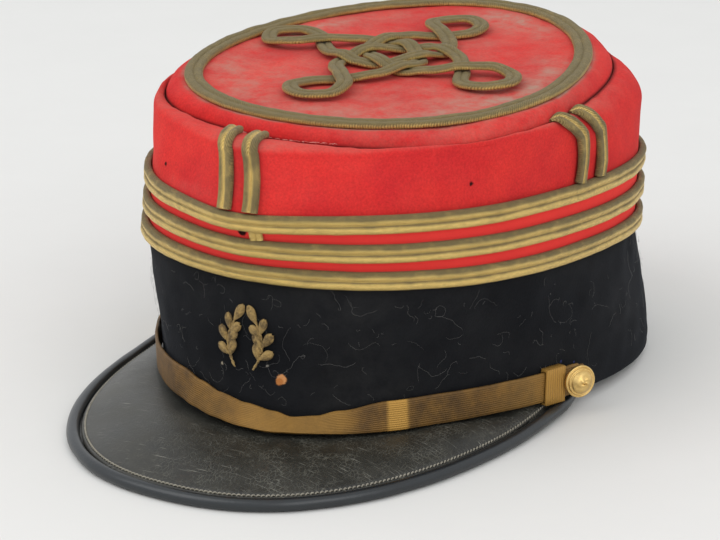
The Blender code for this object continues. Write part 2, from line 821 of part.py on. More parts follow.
def leaf_rings(x, y, heading, length, width):
    """A padded leaf on the flat as two rings and a ridge point: (x, y, out)."""
    count = 8
    rings = []
    for size, out in ((1.0, 0.25), (0.60, 0.85)):
        ring = []
        for i in range(count):
            a = 2.0 * math.pi * i / count
            u = 0.5 * length * math.cos(a) * size
            v = 0.5 * width * math.sin(a) * (1.0 - 0.35 * abs(math.cos(a))) * size
            ring.append((x + u * math.cos(heading) - v * math.sin(heading),
                         y + u * math.sin(heading) + v * math.cos(heading), out))
        rings.append(ring)
    return rings


def flat_solid(rings, top_point):
    """Points and faces of a low dome: flat underside, rings, then a top point."""
    count = len(rings[0])
    points = [(x, y, 0.0) for x, y, _ in rings[0]]
    for ring in rings:
        points.extend(ring)
    points.append(top_point)
    faces = [tuple(reversed(range(count)))]
    for r in range(len(rings)):
        for i in range(count):
            j = (i + 1) % count
            faces.append((r * count + i, r * count + j,
                          (r + 1) * count + j, (r + 1) * count + i))
    last = len(rings) * count
    for i in range(count):
        faces.append((last + i, last + (i + 1) % count, len(points) - 1))
    return points, faces


def build_sprigs():
    height = SPRIG_HEIGHT / MM
    for name, side in (("front_sprig_left", 1.0), ("front_sprig_right", -1.0)):
        parts = []
        stem = []
        for k in range(9):
            t = k / 8.0
            x = side * (1.6 + 0.5 * SPRIG_SPREAD / MM * math.sin(math.pi * (0.12 + 0.80 * t)))
            stem.append((x, (t - 0.5) * (height - 3.0), t))
        ring = []
        for sign in (1.0, -1.0):
            row = stem if sign > 0.0 else list(reversed(stem))
            for x, y, t in row:
                ring.append((x - sign * side * 0.55, y, 0.3))
        middle = stem[4]
        parts.append(("stem", ring, stem, middle))
        mesh_parts = []
        points = [(x, y, 0.0) for x, y, _ in ring] + [(x, y, 0.75) for x, y, _ in ring]
        half = len(ring)
        faces = []
        n = len(stem)
        for k in range(n - 1):
            a, b = k, k + 1
            c, d = half - 2 - k, half - 1 - k
            faces.append((a, b, c, d))
            faces.append((half + d, half + c, half + b, half + a))
        for i in range(half):
            j = (i + 1) % half
            faces.append((i, half + i, half + j, j))
        mesh_parts.append((points, faces))
        for along, way, length, width in LEAF_ROWS:
            k = along * 8.0
            low = min(int(k), 7)
            x = mix(stem[low][0], stem[low + 1][0], k - low)
            y = mix(stem[low][1], stem[low + 1][1], k - low)
            slope = math.atan2(stem[low + 1][1] - stem[low][1],
                               stem[low + 1][0] - stem[low][0])
            heading = slope - side * way * math.radians(38.0)
            x += 0.5 * (length - 0.6) * math.cos(heading)
            y += 0.5 * (length - 0.6) * math.sin(heading)
            rings = leaf_rings(x, y, heading, length, width)
            mesh_parts.append(flat_solid(rings, (x, y, 1.0)))
        items = []
        for i, (points, faces) in enumerate(mesh_parts):
            items.append(add_object("%s_bit_%d" % (name, i), points, faces,
                                    "gold_embroidery"))
        body = items[0]
        body.name = name
        for other in items[1:]:
            joiner = body.modifiers.new("join", "BOOLEAN")
            joiner.operation = "UNION"
            joiner.solver = "EXACT"
            joiner.object = other
            graph = bpy.context.evaluated_depsgraph_get()
            made = bpy.data.meshes.new_from_object(body.evaluated_get(graph))
            body.modifiers.clear()
            body.data = made
            bpy.data.objects.remove(other, do_unlink=True)
        band_rise = level("braids_0")[3] - rim_height_at(0.0)
        for vert in body.data.vertices:
            x, y, out_by = vert.co
            share = (SPRIG_MIDDLE + y * MM) / band_rise
            place, out, up = band_frame(share, across_to_angle(share, x * MM + SPRIG_SIDE))
            vert.co = place + out * (GAP + out_by * SPRIG_RELIEF)
        for face in body.data.polygons:
            face.use_smooth = True


def across_to_angle(share, x):
    """Angle near the front at which the band's surface stands x to the side."""
    low, high = math.radians(-130.0), math.radians(-50.0)
    for _ in range(40):
        mid = 0.5 * (low + high)
        if oval(band_level(share), mid).x < x:
            low = mid
        else:
            high = mid
    return 0.5 * (low + high)


def centre_footprint():
    """Move everything so that the bounds stand on z = 0, centred on x = y = 0."""
    low = Vector((1e9, 1e9, 1e9))
    high = Vector((-1e9, -1e9, -1e9))
    for item in bpy.data.objects:
        for vert in item.data.vertices:
            for k in range(3):
                low[k] = min(low[k], vert.co[k])
                high[k] = max(high[k], vert.co[k])
    shift = Vector((-0.5 * (low.x + high.x), -0.5 * (low.y + high.y), -low.z))
    for item in bpy.data.objects:
        for vert in item.data.vertices:
            vert.co += shift
        item.data.update()
    print("shift", tuple(round(v, 6) for v in shift))


def main():
    clear_scene()
    build_band()
    build_crown_side()
    build_crown_top()
    build_braids()
    build_uprights()
    build_ring()
    build_knot()
    build_peak()
    build_binding()
    build_strap()
    build_keepers()
    build_buttons()
    build_sprigs()
    centre_footprint()


main()
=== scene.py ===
# %% [markdown]
# # A gold-braided kepi
# This lesson dresses a plain solid model of an officer's kepi: black wool band, red
# crown, gold soutache, leather peak. The solids come in first and stay as the measure
# of size. Each cell then builds one piece as a fine mesh and gives it its finish.

# %% Load the solid model as the frame
import math
import bmesh
import bpy
import numpy as np
from mathutils import Matrix, Vector


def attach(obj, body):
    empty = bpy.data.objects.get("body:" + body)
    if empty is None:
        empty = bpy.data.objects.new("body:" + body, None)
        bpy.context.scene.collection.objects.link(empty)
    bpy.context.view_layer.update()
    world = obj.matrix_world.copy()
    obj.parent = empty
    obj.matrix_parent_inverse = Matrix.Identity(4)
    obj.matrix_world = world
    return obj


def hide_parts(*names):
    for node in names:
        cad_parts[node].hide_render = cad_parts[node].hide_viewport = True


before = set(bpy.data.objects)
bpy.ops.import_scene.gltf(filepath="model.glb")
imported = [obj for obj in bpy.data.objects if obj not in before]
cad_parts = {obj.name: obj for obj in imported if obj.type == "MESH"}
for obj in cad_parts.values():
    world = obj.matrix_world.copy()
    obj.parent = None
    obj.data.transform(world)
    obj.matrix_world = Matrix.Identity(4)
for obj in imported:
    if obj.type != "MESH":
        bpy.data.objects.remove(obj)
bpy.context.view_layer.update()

# %% [markdown]
# ## Sizes
# All lengths in this file are millimetres, and angles are degrees round the cap from
# the wearer's left. Every level of the cap is an oval whose sizes are shares of the
# lower rim's. Working from such a table, and not from loose points, keeps the braids,
# the cloth and the strap on one and the same surface.

# %% The cap's own sizes
BAND_WIDTH = 160.6
BAND_LENGTH = 202.6
CAP_HEIGHT = 108.9
RIM_LEAN = 2.7                               # the front of the rim is the higher end
RIM_REST = 0.35                              # air under the rearmost point of the rim
BAND_WALL = 2.4                              # cloth over its stiff core
CLOTH = 2.0
GAP = 0.3
CREASE_REACH = 22.0                          # half width of the raised front corner
CREASE_SIDE = 3.0                            # how far that corner stands to the left
SHOULDER_PUFF = 0.3                          # swelling between the side and the seam
SHIFT = np.array([0.0, 24.268, -0.045])      # band centre to the middle of the footprint

# Columns: width, length, forward, height, lean, power, egg, crease
LEVELS = {
    "rim":      (1.000, 1.000, 0.009, None, None, 2.03, 0.225, 0.000),
    "braids_0": (0.944, 0.936, 0.006, 0.4745, -4.9, 2.45, 0.062, 0.013),
    "braids_1": (0.943, 0.952, 0.008, 0.722, -3.1, 2.31, 0.108, 0.036),
    "bulge":    (0.961, 0.938, -0.012, 0.8785, -3.5, 2.20, 0.045, 0.036),
    "seam":     (0.892, 0.793, -0.027, 0.947, 2.0, 2.47, -0.097, 0.011),
    "flat":     (0.846, 0.774, -0.026, 1.000, 2.75, 2.06, -0.144, 0.000),
}
BRAID_SHARES = {"braid_lower": 0.115, "braid_middle": 0.500, "braid_upper": 0.885}


def rim_height(y):
    """Height of the rim's plane at a distance y behind the band centre."""
    lean = math.radians(RIM_LEAN)
    return RIM_REST + 0.5 * BAND_LENGTH * math.sin(lean) - y * math.tan(lean)


def level(name):
    width, length, forward, height, lean, power, egg, crease = LEVELS[name]
    if height is None:
        height = rim_height(0.0) / CAP_HEIGHT
        lean = -RIM_LEAN
    return np.array([width * BAND_WIDTH, length * BAND_LENGTH, -forward * BAND_LENGTH,
                     height * CAP_HEIGHT, lean, power, egg, crease * BAND_LENGTH])


print("rim", level("rim").round(2))

# %% [markdown]
# ## From the table to a surface
# An oval between a circle and a rounded box is a superellipse: the cosine and sine are
# raised to a power. The crown has a soft raised corner in the middle of its front,
# which is added as a smooth bump. Mixing two levels gives every height in between.

# %% Ovals and the surfaces between them
def oval(lev, angle):
    """Points of a level at angles in radians; the front is at minus 90 degrees."""
    width, length, y_mid, z_mid, lean, power, egg, crease = np.moveaxis(
        np.asarray(lev, dtype=float), -1, 0)
    c, s = np.cos(angle), np.sin(angle)
    across = np.sign(c) * np.abs(c) ** (2.0 / power)
    along = np.sign(s) * np.abs(s) ** (2.0 / power)
    x = 0.5 * width * across * (1.0 + egg * along)
    y = 0.5 * length * along
    corner = crease * np.exp(-((x - CREASE_SIDE) / CREASE_REACH) ** 2)
    y = y - np.where(s < 0.0, corner, 0.0)
    tilt = np.radians(lean)
    return np.stack([x, y_mid + y * np.cos(tilt), z_mid + y * np.sin(tilt)], -1)


def band_level(share):
    """Level of the black band, 0 at the rim and 1 at the lower braid."""
    share = np.asarray(share, dtype=float)[..., None]
    return level("rim") + (level("braids_0") - level("rim")) * share


def side_level(share):
    """Level of the crown's side, 0 at the lower braid and 3 at the seam."""
    share = np.asarray(share, dtype=float)[..., None]
    a, b, c, d = [level(n) for n in ("braids_0", "braids_1", "bulge", "seam")]
    turn = np.radians(90.0 * np.clip(share - 2.0, 0.0, 1.0))
    high = c + (d - c) * (1.0 - np.cos(turn))
    high[..., 3:4] = c[3] + (d[3] - c[3]) * np.sin(turn) + SHOULDER_PUFF * np.sin(2.0 * turn)
    low = np.where(share <= 1.0, a + (b - a) * share, b + (c - b) * (share - 1.0))
    return np.where(share <= 2.0, low, high)


def band_at(share, angle):
    return oval(band_level(share), angle)


def side_at(share, angle):
    return oval(side_level(share), angle)


def unit(vectors):
    return vectors / np.maximum(np.linalg.norm(vectors, axis=-1, keepdims=True), 1e-9)


def frame_on(surface, share, angle):
    """Place, outward direction and upward direction on a surface."""
    rise = surface(share + 0.02, angle) - surface(share - 0.02, angle)
    along = surface(share, angle + 0.01) - surface(share, angle - 0.01)
    out = unit(np.cross(along, rise))
    return surface(share, angle), out, unit(np.cross(out, along))


def run_of(path):
    """Distance along a path at each of its points."""
    return np.concatenate([[0.0], np.cumsum(np.linalg.norm(np.diff(path, axis=0), axis=1))])


def even_angles(lev, count):
    """Angles that share a level's outline into equal lengths, and that outline's length."""
    fine = np.linspace(0.0, 2.0 * np.pi, 2881)
    run = run_of(oval(lev, fine))
    return np.interp(run[-1] * np.arange(count) / count, run, fine), run[-1]


print("rim is", round(even_angles(level("rim"), 8)[1]), "mm round")

# %% [markdown]
# ## From points to a piece
# A loft joins rows of points with four-sided faces. Cloth, leather and braid all become
# closed lofts here, so that each piece has a true thickness. The texture coordinates
# are millimetres along and across the piece, which lets a thread be as wide as it is.

# %% Mesh helpers
def loft(rows, closed_rows, closed_cols, u=None, v=None):
    """Faces and texture corners of a grid of points with the shape (rows, cols, 3)."""
    count_r, count_c = rows.shape[:2]
    r = np.arange(count_r if closed_rows else count_r - 1)
    c = np.arange(count_c if closed_cols else count_c - 1)
    rr, cc = np.meshgrid(r, c, indexing="ij")
    r2, c2 = (rr + 1) % count_r, (cc + 1) % count_c
    faces = np.stack([rr * count_c + cc, rr * count_c + c2,
                      r2 * count_c + c2, r2 * count_c + cc], -1).reshape(-1, 4)
    u = np.arange(count_c + 1.0) if u is None else u
    v = np.arange(count_r + 1.0) if v is None else v
    corners = np.stack([np.stack([u[cc], v[rr]], -1), np.stack([u[cc + 1], v[rr]], -1),
                        np.stack([u[cc + 1], v[rr + 1]], -1),
                        np.stack([u[cc], v[rr + 1]], -1)], -2)
    return faces, corners.reshape(-1, 2)


def capped_loft(rows, u=None, v=None):
    """A tube of rows that are closed rings, with a flat face on each end."""
    faces, corners = loft(rows, False, True, u, v)
    count, size = rows.shape[:2]
    faces = [list(f) for f in faces]
    faces.append(list(range(size)))
    faces.append([(count - 1) * size + k for k in reversed(range(size))])
    return faces, np.concatenate([corners, np.zeros((2 * size, 2))])


def add_piece(name, points, faces, corners, finish, slot_name, node=None, marks=None):
    """Make a closed piece that faces outwards, rides on the cap and has its finish."""
    points = np.asarray(points).reshape(-1, 3)
    faces = [list(f) for f in faces]
    mesh = bpy.data.meshes.new(name)
    mesh.from_pydata(((points + SHIFT) * 0.001).tolist(), [], faces)
    if corners is not None:
        layer = mesh.uv_layers.new(name="millimetres")
        layer.data.foreach_set("uv", np.asarray(corners, dtype=np.float32).ravel())
    for label, values in (marks or {}).items():
        layer = mesh.attributes.new(label, "FLOAT", "POINT")
        layer.data.foreach_set("value", np.asarray(values, dtype=np.float32).ravel())
    probe = bmesh.new()
    probe.from_mesh(mesh)
    if probe.calc_volume(signed=True) < 0.0:
        mesh.flip_normals()
    probe.free()
    mesh.polygons.foreach_set("use_smooth", [True] * len(mesh.polygons))
    mesh.update()
    piece = bpy.data.objects.new(name, mesh)
    bpy.context.collection.objects.link(piece)
    mesh.materials.append(finish)
    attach(piece, "root")
    if node:
        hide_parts(node)
    print(name, len(mesh.polygons), "faces")
    return piece


def normals_of(rows, closed_rows, closed_cols):
    """Outward directions of a grid of points, from the neighbours of each."""
    if closed_cols:
        along = np.roll(rows, -1, 1) - np.roll(rows, 1, 1)
    else:
        along = np.gradient(rows, axis=1)
    if closed_rows:
        rise = np.roll(rows, -1, 0) - np.roll(rows, 1, 0)
    else:
        rise = np.gradient(rows, axis=0)
    return unit(np.cross(along, rise))


def soft_noise(points, size, seed):
    """Smooth lumps of about a size in mm, mostly between -1 and 1."""
    rng = np.random.default_rng(seed)
    total = 0.0
    for _ in range(14):
        way = unit(rng.normal(size=3))
        wave = 2.0 * np.pi / (size * rng.uniform(0.8, 1.8))
        total = total + np.sin(points @ way * wave + rng.uniform(0.0, 6.28))
    return total / 4.0


def smooth_step(low, high, value):
    t = np.clip((value - low) / (high - low), 0.0, 1.0)
    return t * t * (3.0 - 2.0 * t)


# %% [markdown]
# ## Colours and nodes
# Colours are picked as hex values, the way a screen shows them, and turned to linear
# light once. One function adds any shader node with its settings and its links, which
# keeps a material readable as a list of steps.

# %% Helpers for finishes
def linear(hex_text, alpha=1.0):
    """sRGB hex to the linear colour that shaders work in."""
    values = [int(hex_text[i:i + 2], 16) / 255.0 for i in (1, 3, 5)]
    values = [v / 12.92 if v <= 0.04045 else ((v + 0.055) / 1.055) ** 2.4 for v in values]
    return (*values, alpha)


def add(tree, kind, inputs=None, **settings):
    """Add a node, set it up, and link or set its inputs."""
    node = tree.nodes.new(kind)
    for key, value in settings.items():
        setattr(node, key, value)
    for key, value in (inputs or {}).items():
        if isinstance(value, bpy.types.NodeSocket):
            tree.links.new(value, node.inputs[key])
        else:
            node.inputs[key].default_value = value
    return node


def new_finish(name, **shader_values):
    """A material with its shader set up: material, tree, shader and place on the cap."""
    made = bpy.data.materials.new(name)
    made.use_nodes = True
    tree = made.node_tree
    shader = tree.nodes["Principled BSDF"]
    for key, value in shader_values.items():
        shader.inputs[key.replace("_", " ")].default_value = value
    return made, tree, shader, add(tree, "ShaderNodeTexCoord").outputs["Object"]


def per_mm(size):
    """Texture scale for a pattern of a size in mm on a model in metres."""
    return 1000.0 / size


def maths(tree, operation, *values, clamp=False):
    """Work on numbers and sockets with one maths node."""
    return add(tree, "ShaderNodeMath", dict(enumerate(values)), operation=operation,
               use_clamp=clamp).outputs[0]


def noise(tree, at, size, detail, rough=0.5, seed=None):
    """Cloudy pattern of a size in mm, mostly between 0.3 and 0.7."""
    inputs = {"Vector": at, "Scale": per_mm(size), "Detail": detail, "Roughness": rough}
    if seed is None:
        return add(tree, "ShaderNodeTexNoise", inputs).outputs["Fac"]
    inputs["W"] = seed
    return add(tree, "ShaderNodeTexNoise", inputs, noise_dimensions="4D").outputs["Fac"]


def spread(tree, value, low=0.0, high=1.0, to_low=0.0, to_high=1.0):
    """Stretch a value from one range to another and clamp it there."""
    return add(tree, "ShaderNodeMapRange", {"Value": value, "From Min": low, "From Max": high,
                                            "To Min": to_low, "To Max": to_high}).outputs[0]


def blend(tree, amount, first, second):
    """Mix two colours; each is a socket or a hex value."""
    first, second = [linear(c) if isinstance(c, str) else c for c in (first, second)]
    return add(tree, "ShaderNodeMix", {0: amount, 6: first, 7: second},
               data_type="RGBA").outputs[2]


def times(tree, colour, value):
    """A colour made lighter or darker by a value."""
    return add(tree, "ShaderNodeVectorMath", {0: colour, 1: value},
               operation="MULTIPLY").outputs[0]


def mark(tree, name):
    """A value that the mesh carries at each of its points."""
    return add(tree, "ShaderNodeAttribute", attribute_name=name).outputs["Fac"]


def in_mm(tree):
    """Place across and along the piece, in mm, from its texture corners."""
    uv = add(tree, "ShaderNodeUVMap", uv_map="millimetres").outputs[0]
    return add(tree, "ShaderNodeSeparateXYZ", {0: uv}).outputs


def waves(tree, place, pitch):
    """Even ridges from 0 to 1 with a pitch in mm."""
    turn = maths(tree, "MULTIPLY", place, 2.0 * math.pi / pitch)
    return spread(tree, maths(tree, "SINE", turn), -1.0)


def dress(made, tree, shader, colour, height=None, strength=0.0, depth=0.0):
    """Link the colour and, where there is one, a bump with its depth in mm."""
    tree.links.new(colour, shader.inputs["Base Color"])
    if height is not None:
        bump = add(tree, "ShaderNodeBump", {"Height": height, "Strength": strength,
                                            "Distance": depth * 0.001})
        tree.links.new(bump.outputs[0], shader.inputs["Normal"])
    return made


print("helpers ready")

# %% [markdown]
# ## Felted wool cloth
# The band and the crown are milled wool broadcloth: woven, then felted until the weave
# hides under a short nap. It is matt, it scatters light at grazing angles, and it holds
# dust. A soft sheen lobe gives the pale rim, noise of under a millimetre gives the nap,
# and marks that the mesh carries pale the dusty places, paint light onto the red between
# the braids and paint shade into the groove of the seam. Moth holes and stains are spots
# at a distance from a point on the cloth.

# %% Wool finishes
# Painted shade: the groove of the seam between the crown's side and top is darkened to this.
SEAM_PAINTED_SHADE = "#1a0508"
RED_PAINTED_LIGHT = "#fb4640"                         # painted light on the red cloth between the braids


def wool(name, deep, plain, dust, sheen, sheen_tint, spots=()):
    made, tree, shader, at = new_finish(name, Roughness=0.95, Sheen_Weight=sheen,
                                        Sheen_Roughness=0.45, Specular_IOR_Level=0.15,
                                        Sheen_Tint=linear(sheen_tint))
    cloud = spread(tree, noise(tree, at, 26.0, 5.0, 0.6), 0.33, 0.67)
    nap = noise(tree, at, 0.8, 3.0, 0.7)
    colour = times(tree, blend(tree, cloud, deep, plain),
                   spread(tree, nap, 0.3, 0.75, 0.82, 1.18))
    patch = spread(tree, noise(tree, at, 9.0, 8.0, 0.72), 0.35, 0.68, 0.25, 1.35)
    amount = maths(tree, "MULTIPLY", mark(tree, "dust"), patch, clamp=True)
    colour = blend(tree, amount, colour, dust)
    # Painted light: a mark lightens the red cloth between the braids towards a brighter red.
    colour = blend(tree, mark(tree, "painted_light"), colour, RED_PAINTED_LIGHT)
    # Painted shade in the groove of the seam, from the shade mark.
    colour = blend(tree, mark(tree, "shade"), colour, SEAM_PAINTED_SHADE)
    for place, radius, tint in spots:
        away = add(tree, "ShaderNodeVectorMath", {0: at, 1: place}, operation="DISTANCE")
        ragged = maths(tree, "MULTIPLY_ADD", nap, 0.0012, away.outputs["Value"])
        edge = radius * 0.001
        colour = blend(tree, spread(tree, ragged, edge, edge + 0.0005, 1.0, 0.0), colour, tint)
    return dress(made, tree, shader, colour, nap, 0.35, 0.5)


# Columns: share of the surface's height, angle in degrees, radius in mm, colour
MOTH_DARK = "#23090a"
RED_MARKS = ((1.45, -33.5, 1.2, MOTH_DARK), (1.316, -118.9, 1.1, MOTH_DARK),
             (1.444, -113.2, 0.7, MOTH_DARK), (0.698, -87.9, 1.9, MOTH_DARK))
BAND_MARKS = ((0.347, -77.9, 2.1, "#c98c58"), (0.330, -78.3, 1.7, "#b0703c"),
              (0.388, -94.3, 0.8, "#9a8f7c"), (0.424, -82.2, 0.9, "#c9c3b4"),
              (0.259, -7.7, 0.8, "#4a4e8c"), (0.228, -4.4, 0.6, "#454a86"))


def spots_on(surface, marks):
    """Spots of a table as (place in metres, radius, colour)."""
    return [(tuple((surface(np.array(share), math.radians(turn)) + SHIFT) * 0.001), radius, tint)
            for share, turn, radius, tint in marks]


RED_WOOL = wool("red milled wool broadcloth", "#c4262a", "#d8322e", "#a98c7c", 0.10, "#ff9080",
                spots_on(side_at, RED_MARKS))
BLACK_WOOL = wool("black milled wool broadcloth", "#0c0d10", "#151619", "#3c3b3a", 0.06,
                  "#9aa4b8", spots_on(band_at, BAND_MARKS))
print("wool ready")

# %% [markdown]
# ## Gilt soutache
# The braid is silver-gilt thread wound in a herringbone over two cords. The faces that
# look down or out keep a yellow shine, and the faces that look up have gone olive grey.
# Thread is about 0.3 mm, too fine for the picture, so it is drawn at 0.85 mm. The tarnish
# mark comes from how far each point of the mesh looks up. Shade in the grooves between
# threads and light on their crowns are painted into the colour.

# %% Braid finishes
def gilt_thread(name, bright, deep, tarnish, pitch, metal):
    made, tree, shader, at = new_finish(name, Roughness=0.5, Metallic=metal, Sheen_Weight=0.05)
    along, across = in_mm(tree)[:2]
    place = maths(tree, "MULTIPLY_ADD", maths(tree, "ABSOLUTE", across), 1.1, along)
    place = maths(tree, "MULTIPLY_ADD", noise(tree, at, 3.0, 2.0), 1.3, place)
    fine = spread(tree, noise(tree, at, 0.6, 3.0, 0.85), 0.32, 0.68)
    height = maths(tree, "ADD", fine, waves(tree, place, pitch))
    # Painted shade and highlight: the deep colour lies in the grooves between threads, the bright
    # one on their crowns.
    colour = blend(tree, spread(tree, height, 0.35, 1.60), deep, bright)
    blotch = spread(tree, noise(tree, at, 5.0, 6.0, 0.75), 0.3, 0.7, -0.25, 0.25)
    amount = maths(tree, "ADD", mark(tree, "tarnish"), blotch, clamp=True)
    # The tarnish colour is real, and it gets the same painted shade in the grooves and light on
    # the crowns.
    tarnish_and_thread_shade = times(tree, linear(tarnish)[:3], spread(tree, height, 0.25, 1.70, 0.5, 1.45))
    tree.links.new(spread(tree, amount, 0.0, 1.0, metal, 0.15), shader.inputs["Metallic"])
    tree.links.new(spread(tree, amount, 0.0, 1.0, 0.42, 0.8), shader.inputs["Roughness"])
    return dress(made, tree, shader, blend(tree, amount, colour, tarnish_and_thread_shade), height, 0.40, 0.4)


GOLD_BRAID = gilt_thread("gilt soutache, worn", "#ffe08a", "#93702c", "#70613c", 0.85, 0.55)
DULL_BRAID = gilt_thread("gilt soutache, tarnished", "#cdae62", "#77602f", "#746640", 0.85, 0.35)
GOLD_WORK = gilt_thread("gilt embroidery thread", "#a98c54", "#5e4b2c", "#6e6046", 0.6, 0.3)
print("braid ready")

# %% [markdown]
# ## The flat strap
# The chin strap is a gilt galloon: a narrow woven ribbon over a leather core, with ribs
# that run along it. It has browned, except where it rubs. Ribs of about 0.7 mm are lines
# of constant distance across the strap, with painted shade between them and painted light
# on them. The worn, brighter stretches are a mesh mark.

# %% Strap finish
def galloon(name, way, pitch):
    made, tree, shader, at = new_finish(name, Roughness=0.55, Metallic=0.35,
                                        Specular_IOR_Level=0.4)
    cloud = spread(tree, noise(tree, at, 9.0, 6.0, 0.7), 0.35, 0.65)
    colour = blend(tree, cloud, "#553e20", "#7c5a28")
    colour = blend(tree, mark(tree, "bright"), colour, "#b88c42")
    height = maths(tree, "MULTIPLY_ADD", noise(tree, at, 0.9, 4.0, 0.8), 0.8,
                   waves(tree, in_mm(tree)[way], pitch))
    # Painted shade and light: the grooves between the ribs are darkened and the ribs lightened,
    # by the height that also makes the bump.
    colour = times(tree, colour, spread(tree, height, 0.2, 1.5, 0.88, 1.10))
    return dress(made, tree, shader, colour, height, 0.4, 0.3)


STRAP_CLOTH = galloon("gilt galloon, browned", 1, 0.75)
KEEPER_CLOTH = galloon("gilt galloon, wound", 0, 1.1)
print("strap ready")

# %% [markdown]
# ## Leather and brass
# The peak is blackened cowhide, burnished and now dry: fine crackle, pale scratches,
# brown and grey patches, and a half gloss. The peak's side towards the wearer's right is
# paled to grey as a painted reflection. Crackle is the distance to the edge of small
# cells, bent by noise. The rolled edge is smoother and blue-black. The buttons are
# stamped brass with gilding left in the hollows.

# %% Leather, brass and thread finishes
def old_leather(name):
    made, tree, shader, at = new_finish(name, Roughness=0.5, Specular_IOR_Level=0.45)
    bend = add(tree, "ShaderNodeTexNoise", {"Vector": at, "Scale": per_mm(3.0), "Detail": 3.0})
    bent = add(tree, "ShaderNodeVectorMath", {0: bend.outputs["Color"], 1: (0.0022,) * 3, 2: at},
               operation="MULTIPLY_ADD").outputs[0]
    drawn = add(tree, "ShaderNodeMapping", {"Vector": bent, "Rotation": (0.0, 0.0, -0.35),
                                            "Scale": (1.6, 0.8, 1.0)}).outputs[0]
    crack = add(tree, "ShaderNodeTexVoronoi", {"Vector": drawn, "Scale": per_mm(1.9)},
                feature="DISTANCE_TO_EDGE").outputs["Distance"]
    patch = spread(tree, noise(tree, at, 8.0, 5.0, 0.7), 0.42, 0.62)
    where = maths(tree, "MULTIPLY", mark(tree, "crackle"), patch)
    crack = maths(tree, "MULTIPLY", spread(tree, crack, 0.0, 0.09, 1.0, 0.0), where)
    cloud = spread(tree, noise(tree, at, 20.0, 6.0, 0.65), 0.35, 0.65)
    colour = blend(tree, cloud, "#1d1d1a", "#34332d")
    # Painted reflection: the peak's side towards the wearer's right is paled to grey.
    colour = blend(tree, mark(tree, "painted_reflection"), colour, "#6b6a64")
    colour = blend(tree, crack, colour, "#5f5e55")
    rust = spread(tree, noise(tree, at, 14.0, 7.0, 0.8, 3.0), 0.60, 0.72, 0.0, 0.35)
    colour = blend(tree, rust, colour, "#4d3e30")
    # Columns: direction of a set of scratches in radians, its seed
    for turn, seed in ((0.9, 1.0), (-0.5, 5.0), (1.9, 9.0), (0.2, 13.0)):
        turned = add(tree, "ShaderNodeMapping",
                     {"Vector": at, "Rotation": (0.0, 0.0, turn),
                      "Scale": (per_mm(8.0), per_mm(0.5), 90.0)}).outputs[0]
        scratch = noise(tree, turned, 1000.0, 2.0, seed=seed)
        colour = blend(tree, spread(tree, scratch, 0.67, 0.76, 0.0, 0.45), colour, "#a8a69b")
    tree.links.new(spread(tree, cloud, 0.0, 1.0, 0.36, 0.50), shader.inputs["Roughness"])
    height = maths(tree, "MULTIPLY_ADD", crack, -1.2, noise(tree, at, 0.9, 4.0, 0.7))
    return dress(made, tree, shader, colour, height, 0.35, 0.4)


def rolled_leather(name):
    made, tree, shader, at = new_finish(name, Roughness=0.32, Specular_IOR_Level=0.6)
    colour = blend(tree, noise(tree, at, 12.0, 6.0, 0.7), "#101316", "#22282c")
    return dress(made, tree, shader, colour, noise(tree, at, 1.2, 4.0, 0.7), 0.25, 0.3)


def stamped_brass(name):
    made, tree, shader, at = new_finish(name, Metallic=1.0, Roughness=0.35)
    worn = noise(tree, at, 2.0, 5.0, 0.7)
    tree.links.new(spread(tree, worn, 0.0, 1.0, 0.25, 0.55), shader.inputs["Roughness"])
    return dress(made, tree, shader, blend(tree, worn, "#b98f45", "#ffe09a"), worn, 0.2, 0.2)


def plain_thread(name, pale, deep):
    made, tree, shader, at = new_finish(name, Roughness=0.85, Sheen_Weight=0.2)
    return dress(made, tree, shader, blend(tree, noise(tree, at, 2.0, 3.0), deep, pale))


PEAK_LEATHER_FINISH = old_leather("blackened cowhide, crackled")
EDGE_LEATHER_FINISH = rolled_leather("rolled blackened hide")
BRASS = stamped_brass("stamped gilding brass")
PEAK_THREAD = plain_thread("waxed linen thread, greyed", "#aaa494", "#6a655a")
LINT = plain_thread("loose wool and cotton lint", "#6e6c68", "#3a3836")
RED_FLUFF = plain_thread("frayed red wool", "#e8b8a8", "#b8242a")
print("leather and brass ready")

# %% [markdown]
# ## The black band
# The band is one strip of cloth over a stiff core, closed round the head and open below.
# A closed loft goes up its outside and down its inside. Slow lumps of a few tenths of a
# millimetre keep it from looking turned on a lathe, and the lower edge is rolled.

# %% Band
AROUND = 480
angles, rim_round = even_angles(level("rim"), AROUND)
run_along = np.linspace(0.0, rim_round, AROUND + 1)
braid_rise = level("braids_1")[3] - level("braids_0")[3]
band_rise = level("braids_0")[3] - rim_height(0.0)
band_top = BRAID_SHARES["braid_lower"] - 0.5 * GAP / braid_rise


def band_rows(inset, count):
    """Rows of the band's surface from the rim up, moved in by a distance."""
    lower = np.linspace(0.0, 1.0, count)
    levels = np.concatenate([band_level(lower), side_level(np.array([band_top]))])
    levels[:, :2] -= 2.0 * inset
    return oval(levels[:, None, :], angles[None, :])


